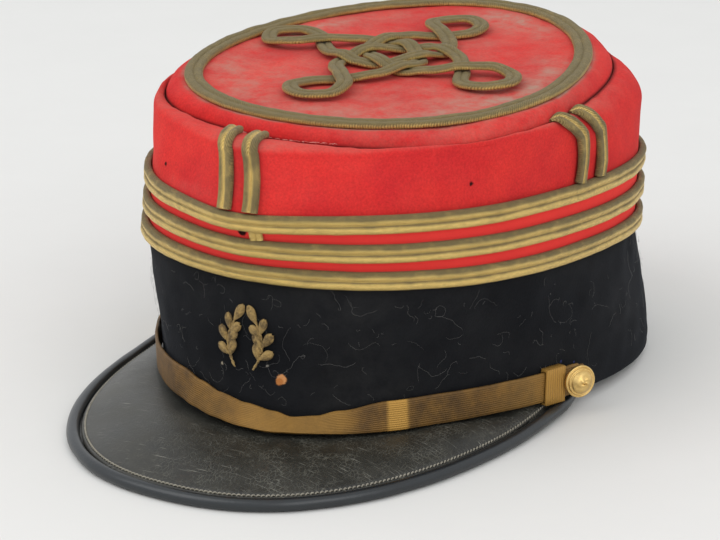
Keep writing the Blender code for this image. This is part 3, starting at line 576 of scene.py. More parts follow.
outer = band_rows(0.0, 46)
facing = normals_of(outer, False, True)
lumps = 0.45 * soft_noise(outer, 34.0, 3) + 0.16 * soft_noise(outer, 9.0, 4)
heights = np.linspace(0.0, 1.0, len(outer))[:, None]
lumps = lumps * smooth_step(0.0, 0.12, heights) * smooth_step(1.0, 0.9, heights)
outer = outer + facing * lumps[..., None]
inner = band_rows(BAND_WALL, 16)[::-1]
rows = np.concatenate([outer, inner])
rows[0] = outer[0] * 0.9 + inner[-1] * 0.1
rows[1] = rows[1] * 0.5 + outer[0] * 0.5
heights = np.concatenate([np.linspace(0.0, 62.0, len(outer)),
                          np.linspace(64.0, 126.0, len(inner) + 1)])
faces, corners = loft(rows, True, True, run_along, heights)
dust = 0.10 + 0.10 * soft_noise(rows, 40.0, 5)
add_piece("band_cloth", rows, faces, corners, BLACK_WOOL, "black_wool", "band",
          {"dust": np.clip(dust, 0.0, 1.0)})

# %% [markdown]
# ## The red crown
# The side of the crown is soft: it swells out above the braids and rolls in to the seam,
# where it is sewn to the top. Both are closed lofts of the same cloth. Soft dents are
# slow noise, small puckers gather along the seam, and dust lies on what looks up.

# %% Crown side
def outside_only(values, outer, inner):
    """A mark from 0 to 1 on the outside of a wall, and 0 on its inside."""
    shown = np.broadcast_to(np.clip(values, 0.0, 1.0), outer.shape[:2])
    return np.concatenate([shown, np.zeros(inner.shape[:2])])


side_low = BRAID_SHARES["braid_lower"] + 0.5 * GAP / braid_rise
shares = np.concatenate([np.linspace(side_low, 1.0, 16), np.linspace(1.03, 2.0, 16),
                         np.linspace(2.05, 3.0, 20)])
outer = side_at(shares[:, None], angles[None, :])
facing = normals_of(outer, False, True)
free = smooth_step(1.0, 1.25, shares)[:, None] * smooth_step(3.0, 2.7, shares)[:, None]
lumps = 0.55 * soft_noise(outer, 42.0, 11) + 0.22 * soft_noise(outer, 14.0, 12)
pucker = smooth_step(2.35, 2.9, shares)[:, None] * soft_noise(outer, 7.0, 13) * 0.22
pucker = pucker * smooth_step(3.01, 2.93, shares)[:, None]
outer = outer + facing * (lumps * free + pucker)[..., None]
inner_shares = np.array([3.0, 2.66, 2.33, 2.0, 1.5, 1.0, side_low])
inner = side_at(inner_shares[:, None], angles[None, :])
inner = inner - normals_of(inner[::-1], False, True)[::-1] * CLOTH
inner[0] = oval(side_level(np.array([3.0])), angles) - np.array([0.0, 0.0, CLOTH])
low_level = side_level(np.array([side_low]))
low_level[:, :2] -= 2.0 * CLOTH
inner[-1] = oval(low_level, angles)
rows = np.concatenate([outer, inner])
heights = np.concatenate([np.linspace(0.0, 66.0, len(outer)),
                          np.linspace(68.0, 130.0, len(inner) + 1)])
faces, corners = loft(rows, True, True, run_along, heights)
up_face = normals_of(outer, False, True)[..., 2]
dust = 0.16 * smooth_step(0.2, 0.9, up_face) + 0.02
dust = dust * (1.0 + 0.5 * soft_noise(outer, 60.0, 14))
# Painted shade on the side's rows just under the seam.
shade = 0.75 * smooth_step(2.90, 2.99, shares)[:, None]
# Painted light on the red cloth from the lower braid up to the upper braid.
painted_light = 0.7 * smooth_step(0.90, 0.80, shares)[:, None]
add_piece("crown_side_cloth", rows, faces, corners, RED_WOOL, "red_wool", "crown_side",
          {"dust": outside_only(dust, outer, inner), "painted_light": outside_only(painted_light, outer, inner),
           "shade": outside_only(shade, outer, inner)})

# %% Crown top
flat = level("flat")
foot = side_level(3.0)
foot[:2] -= 2.0 * GAP
foot[3] -= 0.8
turns = np.radians(np.linspace(0.0, 90.0, 20))
levels = foot + (flat - foot) * (1.0 - np.cos(turns))[:, None]
levels[:, 3] = foot[3] + (flat[3] - foot[3]) * np.sin(turns)
shrinks = np.array([0.97, 0.94, 0.9, 0.86, 0.8, 0.72, 0.64, 0.55, 0.45, 0.35, 0.25, 0.15, 0.06,
                    0.01])
inside = np.repeat(flat[None], len(shrinks), 0)
inside[:, :2] *= shrinks[:, None]
levels = np.concatenate([levels, inside])
outer = oval(levels[:, None, :], angles[None, :])
facing = normals_of(outer, False, True)
ride = np.arange(len(levels))[:, None]
lumps = 0.28 * soft_noise(outer, 30.0, 21) + 0.10 * soft_noise(outer, 8.0, 22)
lumps = lumps * smooth_step(2.0, 8.0, ride) - 0.15 * smooth_step(20.0, 26.0, ride)
outer = outer + facing * lumps[..., None]
inner = outer[::-1] - facing[::-1] * CLOTH
rim_low = foot.copy()
rim_low[:2] -= 2.0 * CLOTH
inner[-1] = oval(rim_low, angles)
rows = np.concatenate([outer, inner])
heights = np.arange(len(rows) + 1) * 2.0
faces, corners = loft(rows, True, True, run_along, heights)
edge = smooth_step(0.0, 12.0, ride) * 0.06 + smooth_step(14.0, 19.0, ride) * 0.20
edge = edge + 0.30 * smooth_step(17.0, 19.0, ride) * smooth_step(22.0, 20.0, ride)
edge = edge + 0.30 * smooth_step(22.5, 23.5, ride) * smooth_step(26.0, 24.0, ride)
dust = np.broadcast_to(edge, outer.shape[:2]) * (1.0 + 0.35 * soft_noise(outer, 36.0, 23))
near_front = smooth_step(30.0, -30.0, outer[..., 1])
dust = dust + 0.16 * smooth_step(0.0, 50.0, outer[..., 0]) * near_front
# Painted shade on the top's foot, where it runs into the seam.
shade = 0.85 * smooth_step(4.0, 1.0, ride)
add_piece("crown_top_cloth", rows, faces, corners, RED_WOOL, "red_wool", "crown_top",
          {"dust": outside_only(dust, outer, inner), "shade": outside_only(shade, outer, inner)})

# %% [markdown]
# ## Soutache
# Each braid is a sweep of one cross section: two round ridges, a groove between them and
# a flat back. The sweep follows the surface with the surface's own outward direction, so
# it never twists. Small waves in its height and course keep it hand-sewn.

# %% The sweep, and the three rows of braid
BRAID_WIDTH = 6.2
BRAID_THICK = 2.3
BRAID_MAP = 6.0                              # width of a braid on its texture, in mm
# The section. Columns: share of the width, share of the thickness
RIDGES = [(-0.47, 0.0), (-0.50, 0.22), (-0.492, 0.5), (-0.46, 0.76), (-0.39, 0.92), (-0.30, 0.99),
          (-0.20, 1.0), (-0.11, 0.94), (-0.045, 0.82), (0.0, 0.66), (0.045, 0.82), (0.11, 0.94),
          (0.20, 1.0), (0.30, 0.99), (0.39, 0.92), (0.46, 0.76), (0.492, 0.5), (0.50, 0.22),
          (0.47, 0.0)]


def sweep_braid(name, path, out, width, thick, finish, slot_name, node, closed, seed,
                wobble=0.12, bright_core=False):
    """Carry the two-ridged section along a path of (n, 3) points."""
    ridges = np.array(RIDGES)
    if closed:
        heading = np.roll(path, -1, 0) - np.roll(path, 1, 0)
    else:
        heading = np.gradient(path, axis=0)
    across = unit(np.cross(out, heading))
    width = np.broadcast_to(width, (len(path),))[:, None]
    thick = np.broadcast_to(thick, (len(path),))[:, None]
    u = ridges[None, :, 0] * width
    v = ridges[None, :, 1] * thick
    rows = path[:, None] + across[:, None] * u[..., None] + out[:, None] * v[..., None]
    raised = (ridges[:, 1] > 0.1)[None, :, None]
    lumps = soft_noise(rows, 11.0, seed) * wobble + soft_noise(rows, 3.5, seed + 1) * wobble * 0.4
    rows = rows + out[:, None] * (lumps[..., None] * raised)
    run = run_of(np.concatenate([path, path[:1]]))
    around = np.append(ridges[:, 0], ridges[0, 0]) * BRAID_MAP
    faces, corners = loft(rows, True, True, around, run) if closed else capped_loft(
        rows, around, run)
    facing = normals_of(rows, closed, True)
    if np.einsum("ijk,ik->ij", facing, out)[:, 5].mean() < 0.0:
        facing = -facing
    looks_up = facing[..., 2] + 1.1 * across[:, None, 2] * ridges[None, :, 0]
    tarnish = smooth_step(-0.05, 0.62, looks_up + 0.12 * soft_noise(rows, 16.0, seed + 2))
    if bright_core:
        core = smooth_step(0.20, 0.02, np.abs(ridges[None, :, 0]))
        tarnish = np.clip(0.92 - 0.80 * core + 0.12 * soft_noise(rows, 8.0, seed + 3), 0.0, 1.0)
    return add_piece(name, rows, faces, corners[:, ::-1], finish, slot_name, node,
                     {"tarnish": tarnish})


for seed, (name, share) in enumerate(BRAID_SHARES.items()):
    ways = even_angles(side_level(np.array(share)), 560)[0]
    place, out, up = frame_on(side_at, share, ways)
    drift = 0.18 * soft_noise(place, 45.0, 40 + seed)
    place = place + out * 1.6 * GAP + up * drift[:, None]
    sweep_braid(name + "_gilt", place, out, BRAID_WIDTH, BRAID_THICK, GOLD_BRAID,
                "gold_braid", name, True, 50 + seed)

# %% Upright braids
UPRIGHT_WIDTH = 5.3
UPRIGHT_THICK = 2.1
# Columns: angle at the seam and at the foot
UPRIGHTS = {"front_a": (-95.4, -90.2), "front_b": (-90.0, -84.8), "left_a": (-14.0, -2.0),
            "left_b": (-6.4, 3.1), "back_a": (84.6, 89.8), "back_b": (90.0, 95.2),
            "right_a": (166.0, 178.0), "right_b": (173.6, 183.1)}
foot_share = BRAID_SHARES["braid_upper"] + (3.1 + 5.0 * GAP) / braid_rise
for seed, (label, (top_angle, foot_angle)) in enumerate(UPRIGHTS.items()):
    shares = np.linspace(foot_share - 0.04, 2.85, 70)
    climb = (shares - foot_share) / (2.83 - foot_share)
    ways = np.radians(foot_angle + (top_angle - foot_angle) * np.sign(climb) * climb ** 2)
    place, out, up = frame_on(side_at, shares, ways)
    taper = smooth_step(1.02, 0.90, climb)
    lift = 1.8 * GAP + 0.30 * smooth_step(0.3, 0.9, climb) * smooth_step(1.0, 0.92, climb)
    sweep_braid("upright_%s_gilt" % label, place + out * lift[:, None], out,
                UPRIGHT_WIDTH * (0.30 + 0.70 * taper), UPRIGHT_THICK * (0.35 + 0.65 * taper),
                GOLD_BRAID, "gold_braid", "upright_" + label, False, 70 + 2 * seed, 0.12, True)

# %% Tail of the second front upright
# Its foot runs on under the upper row and shows in the gap below.
tail = np.linspace(0.80, 0.63, 14)
place, out, up = frame_on(side_at, tail, np.radians(np.full(len(tail), -84.6)))
sweep_braid("upright_front_b_tail", place + out * GAP, out, 4.6, 1.3, GOLD_BRAID,
            "gold_braid", None, False, 88)

# %% [markdown]
# ## Ring and knot on the top
# The ring follows the flat's oval. The knot is one closed cord in four loops that weaves
# over and under itself. A short table gives one quarter; turned copies give the rest, and
# a smooth curve runs through all rows. The lift column raises it where it passes over.

# %% Ring braid
RING_WIDTH = 6.5
RING_THICK = 2.0
RING_INSET = 3.5                             # from the edge of the flat to the ring's middle


def flat_at(x, y):
    """Point on the flat of the crown at (x, y) from its middle."""
    lev = level("flat")
    tilt = math.radians(lev[4])
    return np.stack([x, lev[2] + y * math.cos(tilt), lev[3] + y * math.sin(tilt)], -1)


tilt = math.radians(level("flat")[4])
FLAT_UP = np.array([0.0, -math.sin(tilt), math.cos(tilt)])
ring_level = level("flat")
ring_level[:2] -= 2.0 * RING_INSET
ways = even_angles(ring_level, 520)[0]
path = oval(ring_level, ways) + FLAT_UP * GAP
sweep_braid("ring_braid_gilt", path, np.repeat(FLAT_UP[None], len(path), 0), RING_WIDTH,
            RING_THICK, DULL_BRAID, "tarnished_braid", "ring_braid", True, 90)

# %% Knot
KNOT_WIDTH = 5.7
KNOT_THICK = 1.7
KNOT_REACH = 55.0                            # from the middle to the tip of a loop
KNOT_LIFT = 2.35
KNOT_TURN = -6.0
KNOT_PLACE = (-2.2, -1.0)                    # middle of the knot from the middle of the flat
# Columns: extra turn and share of the reach, for the loops left, back, right and front
KNOT_LOOPS = ((-8.0, 0.97), (3.0, 0.92), (0.0, 0.98), (0.0, 0.97))
KNOT_CORE = 0.3                              # share of the reach that keeps its place
# Columns: x and y as shares of the reach, lift
KNOT_ROWS = (
    (1.000, 0.000, 0.50), (0.900, 0.155, 0.40), (0.730, 0.150, 0.90), (0.570, 0.000, 1.00),
    (0.400, -0.160, 0.50), (0.222, -0.230, 0.00), (0.020, -0.185, 1.00), (-0.185, -0.020, 0.00),
    (-0.245, 0.100, 0.50), (-0.222, 0.230, 1.00), (-0.160, 0.400, 0.50), (0.000, 0.570, 0.00),
    (0.150, 0.730, 0.10), (0.155, 0.900, 0.40),
)


def catmull(p, t):
    """Smooth curve through p[1] and p[2]."""
    return 0.5 * (2.0 * p[1] + (p[2] - p[0]) * t + (2.0 * p[0] - 5.0 * p[1] + 4.0 * p[2] - p[3])
                  * t * t + (3.0 * p[1] - p[0] - 3.0 * p[2] + p[3]) * t ** 3)


def loop_bend(way, out):
    """Move a mark at an angle and a share of the reach with the loop that it belongs to."""
    arm = int(way // 90.0) % 4
    ease = 0.5 - 0.5 * math.cos(math.radians(2.0 * (way % 90.0)))
    near, far = np.array(KNOT_LOOPS[arm]), np.array(KNOT_LOOPS[(arm + 1) % 4])
    turn, share = near + (far - near) * ease
    amount = float(smooth_step(KNOT_CORE, KNOT_CORE + 0.5, out))
    return way + amount * turn, out * (1.0 + (share - 1.0) * amount)


rows = []
for arm in range(4):
    for x, y, lift in KNOT_ROWS:
        way = (math.degrees(math.atan2(y, x)) + 90.0 * arm) % 360.0
        way, out = loop_bend(way, math.hypot(x, y))
        turn = math.radians(way + KNOT_TURN)
        rows.append(np.array([KNOT_REACH * out * math.cos(turn),
                              KNOT_REACH * out * math.sin(turn), lift]))
marks = []
for i in range(len(rows)):
    for t in np.arange(9) / 9.0:
        near = [rows[(i + k) % len(rows)] for k in (-1, 0, 1, 2)]
        spot = catmull(near, t)
        spot[2] = near[1][2] + (near[2][2] - near[1][2]) * (0.5 - 0.5 * math.cos(math.pi * t))
        marks.append(spot)
marks = np.array(marks)
path = flat_at(marks[:, 0] + KNOT_PLACE[0], marks[:, 1] + KNOT_PLACE[1])
path = path + FLAT_UP * (GAP + marks[:, 2:] * KNOT_LIFT)
sweep_braid("top_knot_gilt", path, np.repeat(FLAT_UP[None], len(path), 0), KNOT_WIDTH,
            KNOT_THICK, DULL_BRAID, "tarnished_braid", "top_knot", True, 92, 0.08)

# %% [markdown]
# ## The peak
# The peak is one piece of stiff leather that curves down and forward from under the rim,
# with a rolled edge sewn round it. Its surface runs between two curves: the edge and the
# root. Rows crowd towards the edge, where a sewn groove lies.

# %% Peak surface
PEAK_HALF_WIDTH = 78.5
PEAK_REACH = 127.3
PEAK_LINE = -20.2
PEAK_POWER = 2.30
PEAK_TAIL = 11.0
PEAK_RISE = 45.0
PEAK_LEATHER = 2.0
PEAK_CROWN = 2.6
BINDING = 4.5
PEAK_TUCK = 1.6
LEATHER_END = 90.0
EDGE_END = LEATHER_END + PEAK_TAIL
EDGE_TUCK = 0.9
ROOT_END = -11.5


def binding_half(turn):
    fade = np.minimum(1.0, (EDGE_END - np.abs(turn)) / 12.0)
    return 0.5 * BINDING * (0.5 + 0.5 * fade)


def peak_edge(turn):
    """Centre of the rolled edge; 0 is the tip, 90 the widest place, then 1 a millimetre."""
    bend = np.clip(turn, -90.0, 90.0)
    c, s = np.maximum(np.cos(np.radians(bend)), 0.0), np.sin(np.radians(bend))
    x = PEAK_HALF_WIDTH * np.sign(s) * np.abs(s) ** (2.0 / PEAK_POWER)
    y = PEAK_LINE - (PEAK_REACH - 1.0) * c ** (2.0 / PEAK_POWER) + np.abs(turn) - np.abs(bend)
    tuck = np.maximum(0.0, (np.abs(turn) - LEATHER_END) / (EDGE_END - LEATHER_END))
    high = rim_height(y) - GAP - binding_half(turn)
    climb = smooth_step(PEAK_LINE + PEAK_TAIL - PEAK_RISE, PEAK_LINE + PEAK_TAIL, y)
    z = 0.5 * BINDING + (high - 0.5 * BINDING) * climb
    return np.stack([x - np.sign(s) * EDGE_TUCK * tuck * tuck, y, z], -1)


def edge_turns(end, count):
    """Turns that share the rolled edge into equal lengths from end to end."""
    fine = np.linspace(-end, end, 4001)
    run = run_of(peak_edge(fine))
    return np.interp(np.linspace(0.0, run[-1], count), run, fine)


def peak_at(turn, share):
    """Top of the peak: share 0 beside the rolled edge and 1 at the root."""
    edge = peak_edge(turn)
    rim = level("rim")
    rim[:2] -= 2.0 * PEAK_TUCK
    span = np.radians(-90.0 + (ROOT_END + 90.0) * np.abs(turn) / LEATHER_END)
    root = oval(rim, span) - np.array([0.0, 0.0, GAP])
    root[..., 0] = np.where(turn < 0.0, -root[..., 0], root[..., 0])
    ahead = peak_edge(turn + 0.5) - peak_edge(turn - 0.5)
    flat_in = unit(np.stack([-ahead[..., 1], ahead[..., 0], 0.0 * ahead[..., 0]], -1))
    start = edge + flat_in * (binding_half(turn) + 1.6 * GAP)[..., None]
    start[..., 2] += 0.5 * PEAK_LEATHER
    reach = np.linalg.norm(root - start, axis=-1)
    share = np.asarray(share)
    spot = start + (root - start) * share[..., None]
    spot[..., 2] += PEAK_CROWN * np.sin(np.pi * share) * np.minimum(1.0, reach / 30.0)
    return spot, reach


turns = edge_turns(LEATHER_END, 300)
shares = np.concatenate([[0.0, 0.004, 0.010, 0.018, 0.026, 0.034, 0.042, 0.052, 0.065, 0.08],
                         np.linspace(0.1, 1.0, 40)])
grid_turns, grid_shares = np.meshgrid(turns, shares, indexing="xy")
upper, reach = peak_at(grid_turns, grid_shares)
from_edge = grid_shares * reach
groove = -0.45 * np.exp(-((from_edge - 1.5) / 0.55) ** 2)
groove = groove - 0.5 * smooth_step(0.5, 0.0, from_edge)
lumps = 0.25 * soft_noise(upper, 26.0, 101) * smooth_step(2.0, 8.0, from_edge)
lower = upper - np.array([0.0, 0.0, PEAK_LEATHER])
upper[..., 2] += groove + lumps * smooth_step(1.0, 0.9, grid_shares)
lower_rows = lower[::-1][::3]
rows = np.concatenate([upper, lower_rows])
along = run_of(upper[0])
faces, corners = loft(rows, True, False, np.append(along, along[-1]),
                      np.append(np.linspace(0.0, 110.0, len(rows)), 111.0))
size = rows.shape[1]
faces = [list(f) for f in faces]
faces.append([r * size for r in range(len(rows))])
faces.append([r * size + size - 1 for r in reversed(range(len(rows)))])
corners = np.concatenate([corners, np.zeros((2 * len(rows), 2))])
crackle = smooth_step(-45.0, 30.0, rows[..., 0]) * 0.70 + 0.10
# Painted reflection, rising from the middle of the peak to the wearer's right, with slow noise.
painted_reflection = smooth_step(10.0, -75.0, rows[..., 0]) * (0.34 + 0.06 * soft_noise(rows, 20.0, 102))
add_piece("peak_leather", rows, faces, corners, PEAK_LEATHER_FINISH, "black_leather", "peak",
          {"crackle": crackle, "painted_reflection": np.clip(painted_reflection, 0.0, 1.0)})

# %% Rolled edge and its stitches
turns = edge_turns(EDGE_END, 340)
path = peak_edge(turns)
heading = unit(np.gradient(path, axis=0))
up = np.array([0.0, 0.0, 1.0])
across = unit(np.cross(up, heading))
up = np.cross(heading, across)
ring = np.linspace(0.0, 2.0 * np.pi, 18, endpoint=False)
half = binding_half(turns)[:, None]
lump = 1.0 + 0.03 * soft_noise(path, 12.0, 111)[:, None]
rows = (path[:, None] + across[:, None] * (half * lump * np.cos(ring))[..., None]
        + up[:, None] * (0.96 * half * np.sin(ring))[..., None])
add_piece("peak_rolled_edge", rows, *capped_loft(rows), EDGE_LEATHER_FINISH, "edge_leather",
          "peak_binding")


def tubes(name, paths, radii, finish, slot_name, sides=4):
    """Many thin strands joined in one piece; each path is (n, 3) points in mm."""
    points, faces, start = [], [], 0
    ring = np.linspace(0.0, 2.0 * np.pi, sides, endpoint=False)
    for path, radius in zip(paths, radii):
        path = np.asarray(path)
        heading = unit(np.gradient(path, axis=0))
        helper = np.array([0.0, 0.0, 1.0]) if abs(heading[0, 2]) < 0.8 else np.array([1.0, 0, 0])
        one = unit(np.cross(heading, helper))
        two = np.cross(heading, one)
        fat = np.full(len(path), radius)
        fat[0] *= 0.55
        fat[-1] *= 0.55
        rows = (path[:, None] + one[:, None] * (fat[:, None] * np.cos(ring))[..., None]
                + two[:, None] * (fat[:, None] * np.sin(ring))[..., None])
        points.append(rows.reshape(-1, 3))
        faces += [[start + k for k in f] for f in capped_loft(rows)[0]]
        start += len(path) * sides
    return add_piece(name, np.concatenate(points), faces, None, finish, slot_name)


STITCH = 1.55                                # length of a stitch with its gap
STITCH_INSET = 1.5                           # from the rolled edge to the sewn line
fine_turns = edge_turns(LEATHER_END - 0.2, 2000)
reach = peak_at(fine_turns, 0.0 * fine_turns)[1]
surface = peak_at(fine_turns, STITCH_INSET / np.maximum(reach, 2.0))[0]
run = run_of(surface)
stitches = []
for start in np.arange(0.6, run[-1] - STITCH, STITCH):
    steps = np.linspace(start, start + STITCH * 0.86, 5)
    path = np.stack([np.interp(steps, run, surface[:, k]) for k in range(3)], -1)
    heading = unit(path[-1] - path[0])
    inward = np.array([-heading[1], heading[0], 0.0])
    path += inward * np.linspace(-0.28, 0.28, 5)[:, None]
    path[:, 2] += np.array([-0.45, -0.12, -0.02, -0.12, -0.45]) - 0.05
    stitches.append(path)
tubes("peak_edge_stitches", stitches, [0.3] * len(stitches), PEAK_THREAD, "edge_leather", 6)
print(len(stitches), "stitches")

# %% [markdown]
# ## The chin strap
# The strap lies on the peak's root round the front of the band, from button to button.
# In the middle of the front it has curled, so the table narrows and leans it there. The
# section is a flat ribbon with rounded edges.

# %% Strap
STRAP_WIDTH = 10.4
STRAP_THICK = 1.2
# Columns: angle, height of the lower edge, lean in degrees, stand-off, width share
STRAP_ROWS = np.array((
    (-176.8, 5.0, 1.0, 1.5, 0.26), (-176.2, 3.0, 1.0, 1.5, 0.68), (-175.2, 1.2, 1.0, 1.5, 0.92),
    (-173.5, 0.6, 1.0, 1.5, 1.00), (-168.0, 0.7, 1.0, 1.5, 1.00), (-158.0, 1.4, 4.0, 1.3, 1.00),
    (-140.0, 2.0, 4.0, 0.9, 1.00), (-124.0, 2.5, 4.0, 0.9, 1.00), (-109.0, 2.9, 6.0, 1.2, 1.00),
    (-101.0, 2.6, 10.0, 1.7, 0.90), (-94.0, 1.7, 14.0, 1.8, 0.82), (-86.0, 1.0, 22.0, 2.0, 0.77),
    (-78.0, 1.1, 40.0, 2.1, 0.71), (-73.0, 1.1, 44.0, 2.1, 0.56), (-67.0, 1.1, 32.0, 2.1, 0.58),
    (-61.0, 0.8, 18.0, 1.9, 0.74), (-50.0, 0.8, 12.0, 1.6, 0.97), (-39.0, 1.0, 7.0, 1.3, 1.00),
    (-27.0, 1.0, 4.0, 1.3, 1.00), (-12.0, 0.7, 1.0, 1.5, 1.00), (-6.5, 0.6, 1.0, 1.5, 1.00),
    (-4.8, 1.2, 1.0, 1.5, 0.92), (-3.8, 3.0, 1.0, 1.5, 0.68), (-3.2, 5.0, 1.0, 1.5, 0.26),
))


def strap_frame(degrees):
    """Middle of the strap's back face, its outward and upward directions and its width."""
    marks = STRAP_ROWS[:, 0]
    row = np.clip(np.searchsorted(marks, degrees, side="left") - 1, 0, len(marks) - 2)
    t = smooth_step(marks[row], marks[row + 1], degrees)[:, None]
    mixed = STRAP_ROWS[row, 1:] * (1.0 - t) + STRAP_ROWS[row + 1, 1:] * t
    height, lean, stand, share = mixed.T
    width = STRAP_WIDTH * share
    place, out, up = frame_on(band_at, (height + 0.5 * width) / band_rise, np.radians(degrees))
    tilt = np.radians(lean)[:, None]
    leant_up = unit(up * np.cos(tilt) - out * np.sin(tilt))
    leant_out = unit(out * np.cos(tilt) + up * np.sin(tilt))
    half = 0.5 * width[:, None]
    middle = place + out * (stand[:, None] + half * np.sin(tilt)) - up * half * (1 - np.cos(tilt))
    return middle, leant_out, leant_up, width


degrees = np.concatenate([np.linspace(-176.8, -172.0, 20), np.linspace(-171.5, -8.5, 350),
                          np.linspace(-8.0, -3.2, 20)])
middle, out, up, width = strap_frame(degrees)
# Section of the strap. Columns: share of half the width, share of the thickness
RIBBON = np.array([(-1.0, 0.12), (-0.96, 0.0), (0.0, 0.0), (0.96, 0.0), (1.0, 0.12), (1.0, 0.7),
                   (0.96, 0.9), (0.86, 1.0), (0.5, 0.97), (0.0, 0.95), (-0.5, 0.97),
                   (-0.86, 1.0), (-0.96, 0.9), (-1.0, 0.7)])
heading = np.gradient(middle, axis=0)
across = unit(np.cross(out, heading))
rows = (middle[:, None] + across[:, None] * (0.5 * width[:, None] * RIBBON[None, :, 0])[..., None]
        + out[:, None] * (STRAP_THICK * RIBBON[None, :, 1])[..., None])
rows = rows + out[:, None] * (0.08 * soft_noise(rows, 14.0, 121))[..., None]
run = run_of(middle)
faces, corners = capped_loft(rows, np.append(RIBBON[:, 0], RIBBON[0, 0]) * 5.3,
                             np.append(run, run[-1]))
bright = 0.12 * smooth_step(-110.0, -95.0, degrees) + 0.22 * smooth_step(-88.0, -84.0, degrees)
bright = bright * smooth_step(-56.0, -62.0, degrees)
worn = smooth_step(-51.0, -50.0, degrees) * smooth_step(-45.5, -46.5, degrees)
bright = np.maximum(bright, worn) + 0.25 * smooth_step(-30.0, -16.0, degrees)
bright = np.repeat(np.clip(bright, 0.0, 1.0)[:, None], len(RIBBON), 1)
add_piece("chin_strap_galloon", rows, faces, corners[:, ::-1], STRAP_CLOTH, "gold_strap",
          "chin_strap", {"bright": bright})
print("strap is", round(run[-1]), "mm long")

# %% Strap keepers
KEEPER_LENGTH = 9.3
KEEPER_WALL = 0.8
for name, centre in (("strap_keeper_left", -11.8), ("strap_keeper_right", -168.2)):
    step = strap_frame(np.array([centre, centre + 1.0]))[0]
    spread = KEEPER_LENGTH / np.linalg.norm(step[1] - step[0])
    degrees = np.linspace(centre - 0.5 * spread, centre + 0.5 * spread, 61)
    middle, out, up, width = strap_frame(degrees)
    across = unit(np.cross(out, np.gradient(middle, axis=0)))
    place = np.linspace(0.0, 1.0, 61)
    rib = 0.20 * np.abs(np.sin(place * np.pi * 9.0))
    ends = np.minimum(smooth_step(0.0, 0.06, place), smooth_step(1.0, 0.94, place))
    outer_rows, inner_rows = [], []
    for i in range(len(place)):
        for rows, room in ((outer_rows, GAP + KEEPER_WALL * (0.45 + 0.4 * ends[i]) + rib[i]),
                           (inner_rows, GAP)):
            high = 0.5 * width[i] + room
            ring = [(-1.0, -room), (0.0, -room), (1.0, -room), (1.0, 0.5 * STRAP_THICK),
                    (1.0, STRAP_THICK + 0.7 * room), (0.96, STRAP_THICK + room),
                    (0.5, STRAP_THICK + room), (0.0, STRAP_THICK + room),
                    (-0.5, STRAP_THICK + room), (-0.96, STRAP_THICK + room),
                    (-1.0, STRAP_THICK + 0.7 * room), (-1.0, 0.5 * STRAP_THICK)]
            rows.append([middle[i] + across[i] * a * high + out[i] * b for a, b in ring])
    rows = np.concatenate([np.array(outer_rows), np.array(inner_rows)[::-1]])
    run = np.concatenate([place, 1.0 + place, [2.0]]) * KEEPER_LENGTH
    faces, corners = loft(rows, True, True, np.arange(13) * 2.0, run)
    add_piece(name + "_galloon", rows, faces, corners[:, ::-1], KEEPER_CLOTH, "gold_strap", name,
              {"bright": np.full(rows.shape[:2], 0.75)})

# %% [markdown]
# ## Buttons
# A small domed button is stamped from sheet brass: a thin rim, a bead, a second bead and
# a dome with a worn device in low relief. A profile turned round an axis makes it, and
# slow lumps in the middle stand for a device that is rubbed away.

# %% Buttons
BUTTON_RADIUS = 5.7
BUTTON_DOME = 4.6
BUTTON_ANGLE = -7.2
BUTTON_ABOVE = 6.4                           # middle above the rim
BUTTON_TURN = 20.0                           # the face looks this far ahead
BUTTON_SIDES = 56
# Columns: share of the radius, share of the dome's height
PROFILE = ((0.24, -0.55), (0.24, 0.0), (0.60, 0.02), (0.90, 0.04), (0.97, 0.09), (1.00, 0.18),
           (0.99, 0.27), (0.95, 0.33), (0.91, 0.34), (0.885, 0.32), (0.87, 0.31), (0.85, 0.35),
           (0.83, 0.42), (0.80, 0.465), (0.77, 0.475), (0.74, 0.46), (0.725, 0.45),
           (0.70, 0.52), (0.66, 0.60), (0.60, 0.69), (0.52, 0.78), (0.43, 0.86), (0.34, 0.92),
           (0.25, 0.96), (0.16, 0.985), (0.08, 0.995), (0.02, 1.0))
for name, side_sign in (("button_left", 1.0), ("button_right", -1.0)):
    place, out, up = frame_on(band_at, BUTTON_ABOVE / band_rise, math.radians(BUTTON_ANGLE))
    turn = math.radians(BUTTON_TURN)
    stand = 1.5 + STRAP_THICK + KEEPER_WALL + 2.0 * GAP + BUTTON_RADIUS * math.sin(turn)
    place = place + out * stand
    ahead = np.cross(up, out)
    if ahead[1] > 0.0:
        ahead = -ahead
    out = unit(out * math.cos(turn) + ahead * math.sin(turn))
    flip = np.array([side_sign, 1.0, 1.0])
    place, out, up = place * flip, out * flip, up * flip
    along = unit(np.cross(up, out))
    ring = np.linspace(0.0, 2.0 * np.pi, BUTTON_SIDES, endpoint=False)
    rows = []
    for r, h in PROFILE:
        relief = (np.sin(3.0 * ring + 7.0 * r) * np.sin(9.0 * r + 0.6)
                  + 0.4 * np.sin(5.0 * ring + 11.0 * r))
        device = 0.28 * smooth_step(0.62, 0.5, r) * relief
        rows.append(place + (along * np.cos(ring)[:, None] + up * np.sin(ring)[:, None])
                    * r * BUTTON_RADIUS + out * (h * BUTTON_DOME + device * (h > 0.5))[:, None])
    rows = np.array(rows)
    add_piece(name + "_brass", rows, *capped_loft(rows), BRASS, "button_brass", name)

# %% [markdown]
# ## Embroidered sprigs
# The front of the band carries a pair of small leaf sprigs in padded gilt thread. Each
# leaf is a low dome under satin stitches that slant out from its middle, and the stem is
# a twisted cord. Real stitches are about 0.3 mm, and here they are drawn at 0.42 mm.

# %% Sprigs
SPRIG_HEIGHT = 19.5
SPRIG_SPREAD = 9.5
SPRIG_MIDDLE = 26.5
SPRIG_SIDE = 3.0
